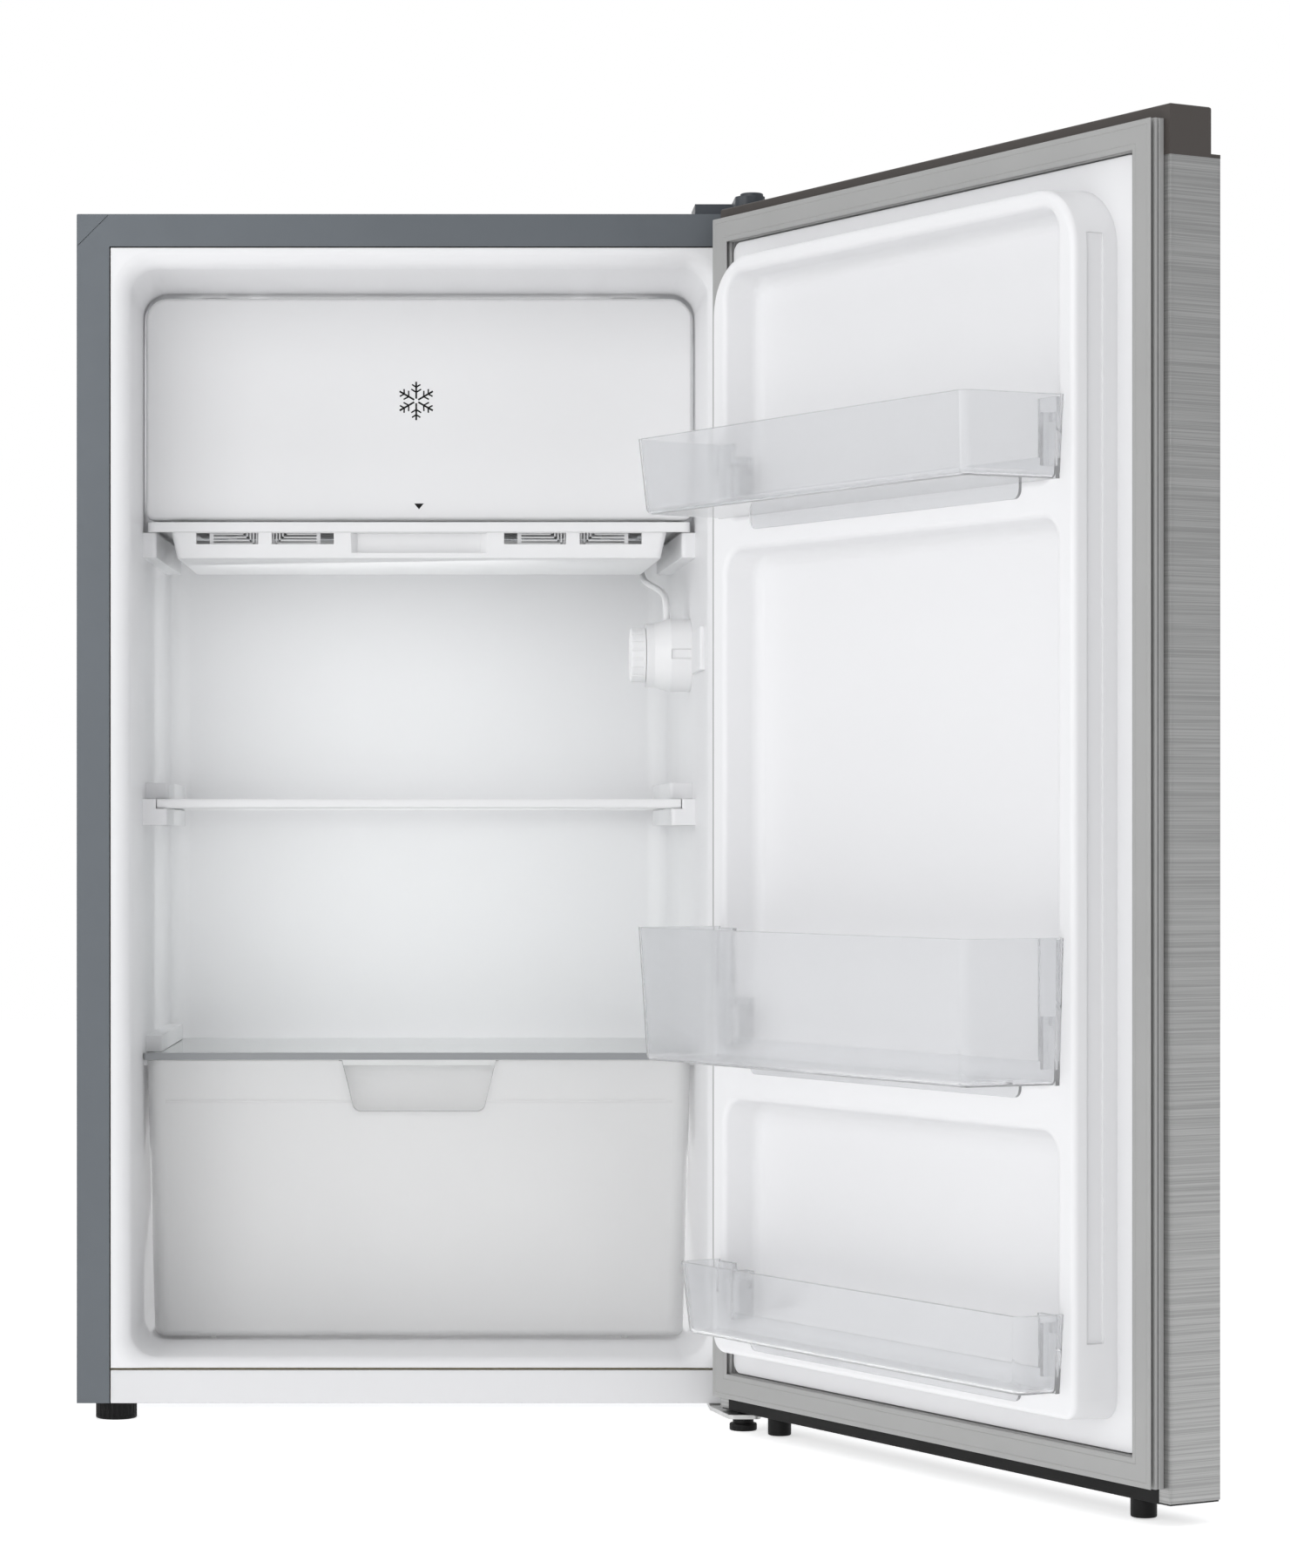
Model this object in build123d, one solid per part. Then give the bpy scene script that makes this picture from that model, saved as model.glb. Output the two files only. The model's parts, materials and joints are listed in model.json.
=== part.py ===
from build123d import *
import math
import os

# Compact single-door refrigerator, in millimetres.
# +X to the right, +Y to the back, +Z up. The origin is on the floor,
# under the middle of the cabinet. The door is shown open.

# ---------------------------------------------------------------- driving sizes
CABINET_WIDTH = 481.0
CABINET_DEPTH = 397.0
CABINET_TOP = 848.0
FOOT_HEIGHT = 12.5
FIT = 0.3                   # gap between pieces that move past each other
SEAT = 0.05                 # gap round a piece that is pressed or moulded in place
RUN = 0.05                  # radial clearance of a running pin

HALF = CABINET_WIDTH / 2
FRONT = -CABINET_DEPTH / 2
BACK = CABINET_DEPTH / 2
BOTTOM = FOOT_HEIGHT

# cabinet shell
WRAPPER_SHEET = 1.0
FLANGE_SIDE = 23.0
FLANGE_TOP = 22.8
FLANGE_LIP = 8.0
MITRE_GAP = 0.4
REAR_SHEET = 1.0
DECK_SHEET = 1.0
BASE_SHEET = 1.8
CROSSBAR_SHEET = 1.2
CROSSBAR_HEIGHT = 23.1
CROSSBAR_TOP = BOTTOM + CROSSBAR_HEIGHT
CROSSBAR_RECESS = 0.5
CROSSBAR_DEPTH = 60.0
FLANGE_HALF = HALF - FLANGE_SIDE
FLANGE_Z = CABINET_TOP - FLANGE_TOP
DECK_LOW = BOTTOM + BASE_SHEET

# inner liner: foam left outside it, draught and corners
SIDE_FOAM = 37.0
TOP_FOAM = 37.0
REAR_FOAM = 44.0
FLOOR_RISE = 31.5
CAVITY_TAPER = 8.5
CAVITY_SLOPE = 14.0
LINER_SHEET = 1.5
LINER_RECESS = 0.6
LINER_GAP = 0.8
LINER_FLANGE_LOW = CROSSBAR_TOP + 2 * LINER_GAP
CAVITY_DEPTH = CABINET_DEPTH - REAR_FOAM
CAVITY_HALF_FRONT = HALF - SIDE_FOAM
CAVITY_HALF_BACK = CAVITY_HALF_FRONT - CAVITY_TAPER
CAVITY_FLOOR = BOTTOM + FLOOR_RISE
CAVITY_TOP_FRONT = CABINET_TOP - TOP_FOAM
CAVITY_TOP_BACK = CAVITY_TOP_FRONT - CAVITY_SLOPE
CAVITY_CORNER = 18.0
CAVITY_BACK_RADIUS = 15.0
CAVITY_LIP = 12.0
LINER_FACE = FRONT + LINER_RECESS
LINER_HALF = FLANGE_HALF - LINER_GAP
LINER_TOP = FLANGE_Z - LINER_GAP
CAVITY_BACK = FRONT + CAVITY_DEPTH

# crisper heights and the step over the machine recess
CRISPER_SETBACK = 102.0
CRISPER_GLASS = 4.0
CRISPER_COVER_TOP = 252.4
CRISPER_COVER_GAP = 0.6
CRISPER_TRIM_DEPTH = 9.0
CRISPER_TRIM_LIP = 0.5
CRISPER_TRIM_BITE = 0.7
CRISPER_TRIM_SHIFT = 1.5
CRISPER_CORNER = 4.0
MACHINE_DEPTH = 152.0
STEP_FOAM = 24.0
STEP_EDGE = 8.0
COVER_LOW = CRISPER_COVER_TOP - CRISPER_GLASS
STEP_TOP = COVER_LOW - FIT
MACHINE_Y = BACK - MACHINE_DEPTH
STEP_Y = MACHINE_Y - STEP_FOAM - LINER_SHEET
MACHINE_TOP = STEP_TOP - STEP_FOAM - LINER_SHEET

# freezer zone
FLAP_SETBACK = 108.0
FLAP_SIDE_GAP = 4.5
FLAP_TOP_GAP = 8.2
FLAP_HEIGHT = 161.5
FLAP_HALF = CAVITY_HALF_FRONT - FLAP_SIDE_GAP
FLAP_HIGH = CAVITY_TOP_FRONT - FLAP_TOP_GAP
FLAP_LOW = FLAP_HIGH - FLAP_HEIGHT
FLAP_DEPTH = 12.0
FLAP_WALL = 2.2
FLAP_EDGE = 2.5
FLAP_CORNER_HIGH = 16.0
FLAP_CORNER_LOW = 6.0
FLAP_AXIS_IN = 5.0
FLAP_AXIS_DOWN = 14.0
FLAP_PIN_R = 2.5
FLAP_PIN_INSET = 49.0
FLAP_LUG_WALL = 1.6
FLAP_LUG_HALF = 3.0
FLAP_CUTOUT = 1.0
FLAP_RIB = 2.0
FLAP_ARM = 8.0
FLAP_ARM_FOOT = 14.0
FLAP_PIN_X = FLAP_HALF - FLAP_PIN_INSET
FLAP_RIB_X = FLAP_PIN_X * 2 / 3
FLAP_Y = FRONT + FLAP_SETBACK
FLAP_AXIS_Y = FLAP_Y + FLAP_AXIS_IN
FLAP_AXIS_Z = FLAP_HIGH - FLAP_AXIS_DOWN
EVAPORATOR_SHEET = 1.5
EVAPORATOR_SIDE_GAP = 7.0
EVAPORATOR_TOP_GAP = 13.0
EVAPORATOR_BACK_GAP = 15.0
EVAPORATOR_BEHIND_FLAP = 19.0
EVAPORATOR_RISE = 1.2
EVAPORATOR_HALF = CAVITY_HALF_BACK - EVAPORATOR_SIDE_GAP
EVAPORATOR_LOW = FLAP_LOW + EVAPORATOR_RISE
EVAPORATOR_HIGH = CAVITY_TOP_BACK - EVAPORATOR_TOP_GAP
EVAPORATOR_START = FLAP_SETBACK + EVAPORATOR_BEHIND_FLAP
EVAPORATOR_END = CAVITY_DEPTH - EVAPORATOR_BACK_GAP
EVAPORATOR_BEND = 12.0
CHANNEL_RISE = 1.6
CHANNEL_WIDTH = 7.0
CHANNEL_PITCH = 20.0
CHANNEL_MARGIN = 14.0
CHANNEL_SIDE = 6.0
HANGER_R = 6.0
HANGER_INSET = 68.0
HANGER_IN_FRONT = 45.0
HANGER_IN_BACK = 30.0

# drip tray
TRAY_SETBACK = 102.0
TRAY_BACK_GAP = 59.0
TRAY_WALL = 2.0
TRAY_BEVEL = 6.0
TRAY_LEAN = 1.5
TRAY_CORNER = 4.0
TRAY_UNDER_FLAP = 2.1
TRAY_RIM_HEIGHT = 7.2
TRAY_HEIGHT = 26.0
TRAY_SIDE_GAP = 21.5
TRAY_TAPER = 4.5
TRAY_RIM_GAP = 3.6
TRAY_RIM_OVERHANG = 1.5
TRAY_RIM_CORNER = 5.0
TRAY_LENGTH = CAVITY_DEPTH - TRAY_SETBACK - TRAY_BACK_GAP
TRAY_RIM_HIGH = FLAP_LOW - TRAY_UNDER_FLAP
TRAY_RIM_LOW = TRAY_RIM_HIGH - TRAY_RIM_HEIGHT
TRAY_LOW = TRAY_RIM_HIGH - TRAY_HEIGHT
TRAY_HALF_FRONT = CAVITY_HALF_FRONT - TRAY_SIDE_GAP
TRAY_HALF_BACK = TRAY_HALF_FRONT - TRAY_TAPER
VENT_WIDTH = 45.0
VENT_HEIGHT = 8.0
VENT_PITCH = 55.0
VENT_INSET = 42.5
VENT_RISE = 14.2
VENT_OUTER = TRAY_HALF_FRONT - VENT_INSET
VENT_MIDDLE = TRAY_LOW + VENT_RISE
PULL_HALF = 51.0
PULL_DEPTH = 8.0
PULL_SLOPE = 6.0
PULL_RISE = 4.0
PULL_TOP_GAP = 0.5
RAIL_GAP_FRONT = 9.2
RAIL_GAP_BACK = 6.5
RAIL_BEHIND_TRAY = 6.0
RAIL_EDGE = 3.0
RAIL_HALF_FRONT = TRAY_HALF_FRONT + RAIL_GAP_FRONT
RAIL_HALF_BACK = TRAY_HALF_BACK + RAIL_GAP_BACK
RAIL_LOW = TRAY_LOW + FIT
RAIL_START = TRAY_SETBACK + 2.0
RAIL_END = TRAY_SETBACK + TRAY_LENGTH + RAIL_BEHIND_TRAY

# shelf, a little above the middle between the crisper and the drip tray
SHELF_SETBACK = 102.5
SHELF_BACK_GAP = 10.5
SHELF_SIDE_GAP = 4.3
SHELF_ABOVE_MIDDLE = 5.2
SHELF_TRIM_HEIGHT = 6.9
SHELF_TRIM_DEPTH = 14.0
SHELF_TRIM_EDGE = 2.2
SHELF_GRIP = 8.0
SHELF_GLASS = 4.0
SHELF_RAIL_HEIGHT = 12.0
SHELF_RAIL_REACH = 7.2
SHELF_GUIDE_AHEAD = 2.0
SHELF_KEEP_START = 22.0
SHELF_LENGTH = CAVITY_DEPTH - SHELF_SETBACK - SHELF_BACK_GAP
SHELF_HALF = CAVITY_HALF_BACK - SHELF_SIDE_GAP
SHELF_TOP = (CRISPER_COVER_TOP + TRAY_LOW) / 2 + SHELF_ABOVE_MIDDLE
SHELF_RAIL_INNER = SHELF_HALF - SHELF_RAIL_REACH

# crisper drawer and the ribs that carry its glass cover
COVER_RIB_REACH = 4.0
COVER_RIB_TAPER = 3.0
COVER_RIB_START = 10.0
COVER_RIB_EDGE = 1.5
COVER_KEEP_REACH = 11.5
COVER_KEEP_START = 28.0
COVER_KEEP_END = 30.0
DRAWER_UNDER_COVER = 5.0
DRAWER_SIDE_DROP = 4.4
DRAWER_FLOOR_GAP = 2.4
DRAWER_SIDE_GAP = 4.9
DRAWER_SIDE_DRAFT = 5.6
DRAWER_STEP_GAP = 6.5
DRAWER_WALL = 2.2
DRAWER_TAPER_BACK = 2.4
DRAWER_DRAFT = 3.0
DRAWER_CORNER = 12.0
DRAWER_FLOOR_EDGE = 5.0
DRAWER_FRONT_DEPTH = 9.0
DRAWER_HIGH = CRISPER_COVER_TOP - DRAWER_UNDER_COVER
DRAWER_LOW = CAVITY_FLOOR + DRAWER_FLOOR_GAP
DRAWER_SIDE_HIGH = DRAWER_HIGH - DRAWER_SIDE_DROP
DRAWER_HALF_TOP = CAVITY_HALF_FRONT - DRAWER_SIDE_GAP
DRAWER_HALF_LOW = DRAWER_HALF_TOP - DRAWER_SIDE_DRAFT
DRAWER_LENGTH = STEP_Y - FRONT - CRISPER_SETBACK - DRAWER_STEP_GAP
BEAD_DROP = 29.5
BEAD_WIDTH = 1.6
BEAD_RISE = 0.7
BEAD_INSET = 9.0
HANDLE_HALF_TOP = 56.0
HANDLE_HALF_LOW = 47.0
HANDLE_HEIGHT = 37.0
HANDLE_DEPTH = 15.0
HANDLE_CORNER = 6.0
HANDLE_OVER = 6.0
HANDLE_AHEAD = 3.0
RUNNER_WIDTH = 4.0
RUNNER_INSET = 43.0
RUNNER_END = 14.0

# thermostat
THERMOSTAT_SETBACK = 150.0
THERMOSTAT_UNDER_TRAY = 68.7
THERMOSTAT_REACH = 47.5
THERMOSTAT_HEIGHT = TRAY_LOW - THERMOSTAT_UNDER_TRAY
KNOB_X = CAVITY_HALF_FRONT - THERMOSTAT_REACH
KNOB_R = 20.0
KNOB_LENGTH = 11.0
KNOB_EDGE = 1.6
KNOB_FACE = 5.0
KNOB_GROOVES = 18
KNOB_GROOVE_R = 1.2
KNOB_GROOVE_OUT = 0.6
KNOB_GROOVE_END = 2.0
POINTER_WIDTH = 2.0
POINTER_DEPTH = 0.8
POINTER_START = 0.45
POINTER_END = 0.85
HOUSING_R = 23.5
HOUSING_FLARE_R = 27.0
HOUSING_NECK = 6.0
HOUSING_FLARE = 12.0
HOUSING_WALL = 2.0
HOUSING_SLOT_LENGTH = 16.0
HOUSING_SLOT_HALF = 3.5
HOUSING_SLOT_DEPTH = 1.2
SWITCH_WIDTH = 0.66
SWITCH_HEIGHT = 0.7
SPINDLE_R = 3.0
PAD_START = 30.0
PAD_END = 118.0
PAD_HALF = 15.5
PAD_RISE = 2.5
CAPILLARY_R = 2.4
CAPILLARY_INSET = 20.5
CAPILLARY_END_INSET = 30.5
CAPILLARY_BEHIND_TRAY = 30.0
CAPILLARY_ALONG = (0.05, 0.2, 0.42, 0.66, 0.86, 1.0)
CAPILLARY_CLIMB = (0.18, 0.4, 0.54, 0.66, 0.78, 0.9, 1.12)
CAPILLARY_BEND = 0.45

# door
DOOR_THICKNESS = 40.0
DOOR_BELOW_TOP = 1.0
DOOR_ABOVE_FOOT = 0.4
DOOR_TOP = CABINET_TOP - DOOR_BELOW_TOP
DOOR_BOTTOM = FOOT_HEIGHT + DOOR_ABOVE_FOOT
TOP_CAP_HEIGHT = 30.4
SKIN_SHEET = 0.8
SKIN_RADIUS = 3.0
SKIN_RETURN = 10.0
SKIN_UP = 1.1
SKIN_TOP = DOOR_TOP - TOP_CAP_HEIGHT
SKIN_BOTTOM = DOOR_BOTTOM + SKIN_UP
GASKET_THICKNESS = 10.6
GASKET_CLOSED_GAP = 0.7
GASKET_WIDTH = 18.0
GASKET_INSET = 5.0
GASKET_DOWN = 8.4
GASKET_UP = 9.5
GASKET_TOP = DOOR_TOP - GASKET_DOWN
GASKET_BOTTOM = DOOR_BOTTOM + GASKET_UP
GASKET_EDGE = 1.2
GASKET_NECK = 3.0
GASKET_STEPS = (2.4, 3.8, 5.0, 6.0)
MAGNET_WIDTH = 9.0
MAGNET_THICKNESS = 2.4
HINGE_FROM_EDGE = 10.5
HINGE_FROM_BACK = 17.0
HINGE_PIN_R = 4.0
BUSH_WALL = 2.5
BUSH_LENGTH = 20.0
BUSH_FLANGE = 0.6
BUSH_FLANGE_REACH = 2.0
PIN_ROOM = 2.0
DOOR_OPEN = 119.4
CAP_SETBACK = 7.0
CAP_WALL = 2.4
CAP_EDGE = 1.5
BOTTOM_CAP_HEIGHT = 8.7
BOTTOM_CAP_HIGH = DOOR_BOTTOM + BOTTOM_CAP_HEIGHT
POST_FROM_HINGE = 47.0
POST_FROM_FREE_EDGE = 36.5
POST_BEHIND_HINGE = 7.0
POST_R = 8.0
POST_FLOOR_GAP = 1.0
DOOR_BACK = FRONT - GASKET_THICKNESS - GASKET_CLOSED_GAP
DOOR_FRONT = DOOR_BACK - DOOR_THICKNESS
CAP_FRONT = DOOR_FRONT + CAP_SETBACK
HINGE_X = HALF - HINGE_FROM_EDGE
HINGE_Y = DOOR_BACK - HINGE_FROM_BACK
BUSH_R = HINGE_PIN_R + RUN + BUSH_WALL
LINER_LOW_EDGE = GASKET_BOTTOM + GASKET_WIDTH / 2
LINER_HIGH_EDGE = GASKET_TOP - GASKET_WIDTH / 2
DOOR_PLACE = Pos(HINGE_X, HINGE_Y, 0) * Rot(0, 0, DOOR_OPEN) * Pos(-HINGE_X, -HINGE_Y, 0)

# door liner
DOOR_LINER_SHEET = 1.5
TERRACE_RISE = 5.0
TERRACE_RADIUS = 8.0
PLATEAU_RISE = 37.0
PLATEAU_INSET = 44.5
PLATEAU_DRAFT = 1.5
PLATEAU_UP = 47.1
PLATEAU_DOWN = 44.0
PLATEAU_CORNER_HIGH = 38.0
PLATEAU_CORNER_LOW = 12.0
PLATEAU_EDGE = 4.0
PLATEAU_LOW = DOOR_BOTTOM + PLATEAU_UP
PLATEAU_HIGH = DOOR_TOP - PLATEAU_DOWN
PLATEAU_HALF = HALF - PLATEAU_INSET
PLATEAU_Y = DOOR_BACK + PLATEAU_RISE
TERRACE_Y = DOOR_BACK + TERRACE_RISE
TERRACE_HALF = HALF - GASKET_INSET - GASKET_WIDTH - 2 * FIT
TERRACE_LOW = GASKET_BOTTOM + GASKET_WIDTH + 2 * FIT
TERRACE_HIGH = GASKET_TOP - GASKET_WIDTH - 2 * FIT
POCKET_INSET = 60.0
POCKET_TAPER = 8.5
POCKET_DRAFT = 3.0
POCKET_FLOOR = 13.0
POCKET_FLOOR_RADIUS = 9.0
POCKET_CORNER = 16.0
POCKET_UNDER_TOP = 11.0
POCKET_HALF = HALF - POCKET_INSET
POCKET_HALF_FLOOR = POCKET_HALF - POCKET_TAPER
POCKET_Y = DOOR_BACK + POCKET_FLOOR
POCKET_CEILING = PLATEAU_HIGH - POCKET_UNDER_TOP
GROOVE_UP = 46.0
GROOVE_DOWN = 29.0
GROOVE_WIDTH = 12.0
GROOVE_DEPTH = 1.2
GROOVE_LOW = PLATEAU_LOW + GROOVE_UP
GROOVE_HIGH = PLATEAU_HIGH - GROOVE_DOWN

# door bins: floor height, top height, reach from the door's inner face, half width in front
UPPER_BIN_DOWN = 220.6
UPPER_BIN_HEIGHT = 50.4
MIDDLE_BIN_FLOOR = 261.0
MIDDLE_BIN_HEIGHT = 89.0
LOWER_BIN_FLOOR = 75.6
LOWER_BIN_HEIGHT = 48.2
BIN_REACH = 108.0
LOWER_BIN_REACH = 71.0
BIN_INSET = 59.0
LOWER_BIN_INSET = 54.5
UPPER_BIN_FLOOR = DOOR_TOP - UPPER_BIN_DOWN
UPPER_BIN_TOP = UPPER_BIN_FLOOR + UPPER_BIN_HEIGHT
MIDDLE_BIN_TOP = MIDDLE_BIN_FLOOR + MIDDLE_BIN_HEIGHT
LOWER_BIN_TOP = LOWER_BIN_FLOOR + LOWER_BIN_HEIGHT
BINS = {
    "upper_door_bin": (UPPER_BIN_FLOOR, UPPER_BIN_TOP, BIN_REACH, HALF - BIN_INSET),
    "middle_door_bin": (MIDDLE_BIN_FLOOR, MIDDLE_BIN_TOP, BIN_REACH, HALF - BIN_INSET),
    "lower_door_bin": (LOWER_BIN_FLOOR, LOWER_BIN_TOP, LOWER_BIN_REACH, HALF - LOWER_BIN_INSET),
}
BAR_HEIGHTS = (22.0, 28.0)
BIN_WALL = 2.0
BIN_REAR_INSET = 53.5
BIN_DRAFT = 4.0
BIN_CORNER = 4.5
BIN_PLAN_CORNER = 7.0
BIN_TONGUE = 9.5
BIN_TONGUE_INSET = 41.0
BIN_TONGUE_CORNER = 6.0
BIN_TAB = 3.0
BIN_BACK_HEIGHT = 14.0
BIN_HALF_REAR = HALF - BIN_REAR_INSET
BIN_TONGUE_HALF = BIN_HALF_REAR - BIN_TONGUE_INSET
LUG_HEIGHT = 26.0
LUG_DROP = 6.0
LUG_START = 4.0
LUG_RISE = 9.0
LUG_WIDTH = 7.0
LUG_REACH = 6.0

# hinges and feet
HINGE_PLATE = 3.0
HINGE_ARM_R = 8.3
HINGE_COVER_WALL = 1.6
HINGE_BOSS_R = 8.0
HINGE_BOSS_SHIFT = 1.5
HINGE_BOSS_HEIGHT = 9.8
HINGE_BOSS_TOP = CABINET_TOP + HINGE_BOSS_HEIGHT
SCREW_R = 2.0
SCREW_HEAD_R = 4.0
SCREW_HEAD = 2.2
SCREW_EDGE = 1.0
SCREW_LENGTH = 12.0
CROSS_HALF = 2.2
CROSS_WIDTH = 1.0
CROSS_DEPTH = 1.0
STUD_R = 4.0
STUD_LENGTH = 14.0
FOOT_R = 14.5
FOOT_INSET = 26.5
FOOT_SETBACK = 20.0
FOOT_EDGE = 1.0
FOOT_NOTCHES = 24
FOOT_NOTCH_R = 1.1
FOOT_NOTCH_OUT = 0.5
FOOT_NOTCH_LOW = 2.0
FOOT_X = HALF - FOOT_INSET
SMALL_FOOT_R = 9.5
SMALL_FOOT_STEM_R = 7.2
SMALL_FOOT_FLANGE = 5.0
SMALL_FOOT_INSET = 16.0
SMALL_FOOT_AHEAD = 42.0
SMALL_FOOT_X = HALF - SMALL_FOOT_INSET
REAR_FOOT_R = 12.5
REAR_FOOT_INSET_X = 40.5
REAR_FOOT_INSET = 28.0
REAR_FOOT_X = HALF - REAR_FOOT_INSET_X
REAR_STUD = 4.0
ARM_DROP = 1.0
ARM_TOP = BOTTOM - ARM_DROP
ARM_LOW = ARM_TOP - HINGE_PLATE
TOP_PLATE_INSET = 44.5
TOP_PLATE_Y = 38.0
TOP_PLATE_FRONT = 3.0
TOP_PLATE_EAR = 6.0
HINGE_CORNER = 2.5
TOP_PLATE_X = HALF - TOP_PLATE_INSET
LOWER_PLATE_Y = 56.0
LOWER_PLATE_INSET = 36.5
LOWER_ARM_FRONT = 23.0
LOWER_ARM_INSET = 26.5
LOWER_NECK = 6.0
LOWER_SCREW_INSET = 29.5
LOWER_SCREW_X = HALF - LOWER_SCREW_INSET
LOWER_SCREW_LENGTH = 9.0
LOWER_SCREWS_Y = (FRONT + 22, FRONT + 44)
TOP_SCREWS = ((TOP_PLATE_X + 8, FRONT + 14), (TOP_PLATE_X + 8, FRONT + 29), (HINGE_X - 4, FRONT + 27))

# refrigeration circuit
COMPRESSOR_R = 58.0
COMPRESSOR_HEIGHT = 136.0
COMPRESSOR_X = -70.0
COMPRESSOR_GAP = 12.0
COMPRESSOR_DOME = 23.2
SEAM_SHARE = 0.45
SEAM_HEIGHT = 5.0
SEAM_OUT = 2.0
GROMMET_R = 9.0
GROMMET_HEIGHT = 9.0
GROMMET_NECK_R = 6.0
GROMMET_TOP = 3.0
BOLT_R = 3.0
BOLT_HEAD = 4.0
MOUNT_SPAN_X = 76.0
MOUNT_SPAN_Y = 46.0
MOUNT_EDGE_X = 14.0
MOUNT_EDGE_Y = 12.0
FOOT_PLATE = 2.5
STUB_LENGTH = 12.0
STUB_Y = 20.0
SUCTION_Z = 120.0
DISCHARGE_Z = 78.0
SUCTION_PORT_UP = 47.5
SUCTION_PORT_Z = EVAPORATOR_LOW + SUCTION_PORT_UP
CONDENSER_R = 2.4
CONDENSER_LEGS = 6
CONDENSER_INSET_Y = 58.5
CONDENSER_UNDER_TOP = 80.0
CONDENSER_UP = 60.0
CONDENSER_DOWN = 40.0
CONDENSER_BEND = 20.0
CONDENSER_END = 30.0
CONDENSER_END_BEND = 12.0
SUCTION_R = 3.2
DRIER_R = 8.0
DRIER_LENGTH = 90.0
DRIER_INSET_X = 40.0
DRIER_INSET_Y = 30.0
DRIER_UNDER_TUBE = 20.0
RELAY_RISE = 24.0
RELAY_SIZE = 40.0
RELAY_OVERLAP = 6.0
RELAY_OUT = 26.0
RELAY_FRONT = 32.0
RELAY_BACK = 8.0
RELAY_EDGE = 4.0
INLET_R = 7.0
INLET_BORE = 4.0
INLET_LIP = 3.0
INLET_OUT = 14.0
INLET_RISE = 14.0
PAN_X = 62.0
PAN_Y = 46.0
PAN_HEIGHT = 30.0
PAN_WALL = 2.0
PAN_CORNER = 10.0
DRAIN_R = 6.0
DRAIN_WALL = 1.5
DRAIN_Y = 8.0
DRAIN_DIP = 12.0
BASE_OVERLAP = 30.0
COMPRESSOR_Y = MACHINE_Y + COMPRESSOR_R + COMPRESSOR_GAP
MOUNT_LOW = DECK_LOW + GROMMET_HEIGHT
SHELL_TOP = MOUNT_LOW + COMPRESSOR_HEIGHT
STUBS_Y = COMPRESSOR_Y + STUB_Y
SUCTION_X = COMPRESSOR_X - COMPRESSOR_R - STUB_LENGTH
DISCHARGE_X = COMPRESSOR_X + COMPRESSOR_R + STUB_LENGTH

parts = {}


# ---------------------------------------------------------------- helpers
def block(x0, x1, y0, y1, z0, z1):
    centre = Pos((x0 + x1) / 2, (y0 + y1) / 2, (z0 + z1) / 2)
    return centre * Box(abs(x1 - x0), abs(y1 - y0), abs(z1 - z0))


def rod(x, y, z0, z1, r):
    return Pos(x, y, (z0 + z1) / 2) * Cylinder(r, abs(z1 - z0))


def rod_x(x0, x1, y, z, r):
    return Pos((x0 + x1) / 2, y, z) * Rot(0, 90, 0) * Cylinder(r, abs(x1 - x0))


def rod_y(x, y0, y1, z, r):
    return Pos(x, (y0 + y1) / 2, z) * Rot(90, 0, 0) * Cylinder(r, abs(y1 - y0))


def cone_x(x0, x1, y, z, r0, r1):
    return Pos((x0 + x1) / 2, y, z) * Rot(0, 90, 0) * Cone(r0, r1, abs(x1 - x0))


def upright(y, half, z0, z1, r_low, r_high):
    """A rounded rectangle that stands across the cabinet at depth y."""
    outline = Rectangle(2 * half, z1 - z0)
    outline = fillet(outline.vertices().filter_by(lambda v: v.Y < 0), r_low)
    outline = fillet(outline.vertices().sort_by(Axis.Y)[-2:], r_high)
    return Plane((0, y, (z0 + z1) / 2), x_dir=(1, 0, 0), z_dir=(0, -1, 0)) * outline


def level(z, points, radius=0.0, rounded=None):
    """A polygon that lies flat at height z, with some corners rounded."""
    outline = make_face(Polyline(*points, close=True))
    if radius > 0:
        corners = outline.vertices()
        if rounded is not None:
            corners = corners.filter_by(rounded)
        outline = fillet(corners, radius)
    return Pos(0, 0, z) * outline


def edges_at_y(shape, y, half):
    tolerance = 0.01
    picked = []
    for e in shape.edges():
        box = e.bounding_box()
        flat = abs(box.min.Y - y) < tolerance and abs(box.max.Y - y) < tolerance
        if flat and max(abs(box.min.X), abs(box.max.X)) < half:
            picked.append(e)
    return picked


def tube(points, r, radii):
    path = FilletPolyline(*points, radius=radii)
    start = Plane(origin=path @ 0, z_dir=path % 0)
    return sweep(start * Circle(r), path=path)


def cavity_half(depth):
    """Half the inside width of the liner at a depth behind the cabinet's front."""
    return CAVITY_HALF_FRONT - CAVITY_TAPER * depth / CAVITY_DEPTH


def cavity_top(depth):
    """Height of the liner's ceiling at a depth behind the cabinet's front."""
    return CAVITY_TOP_FRONT - CAVITY_SLOPE * depth / CAVITY_DEPTH


def joined(shapes):
    """All the shapes as one, whether they touch or not."""
    whole = shapes[0]
    for shape in shapes[1:]:
        whole = whole + shape
    return whole


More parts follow.
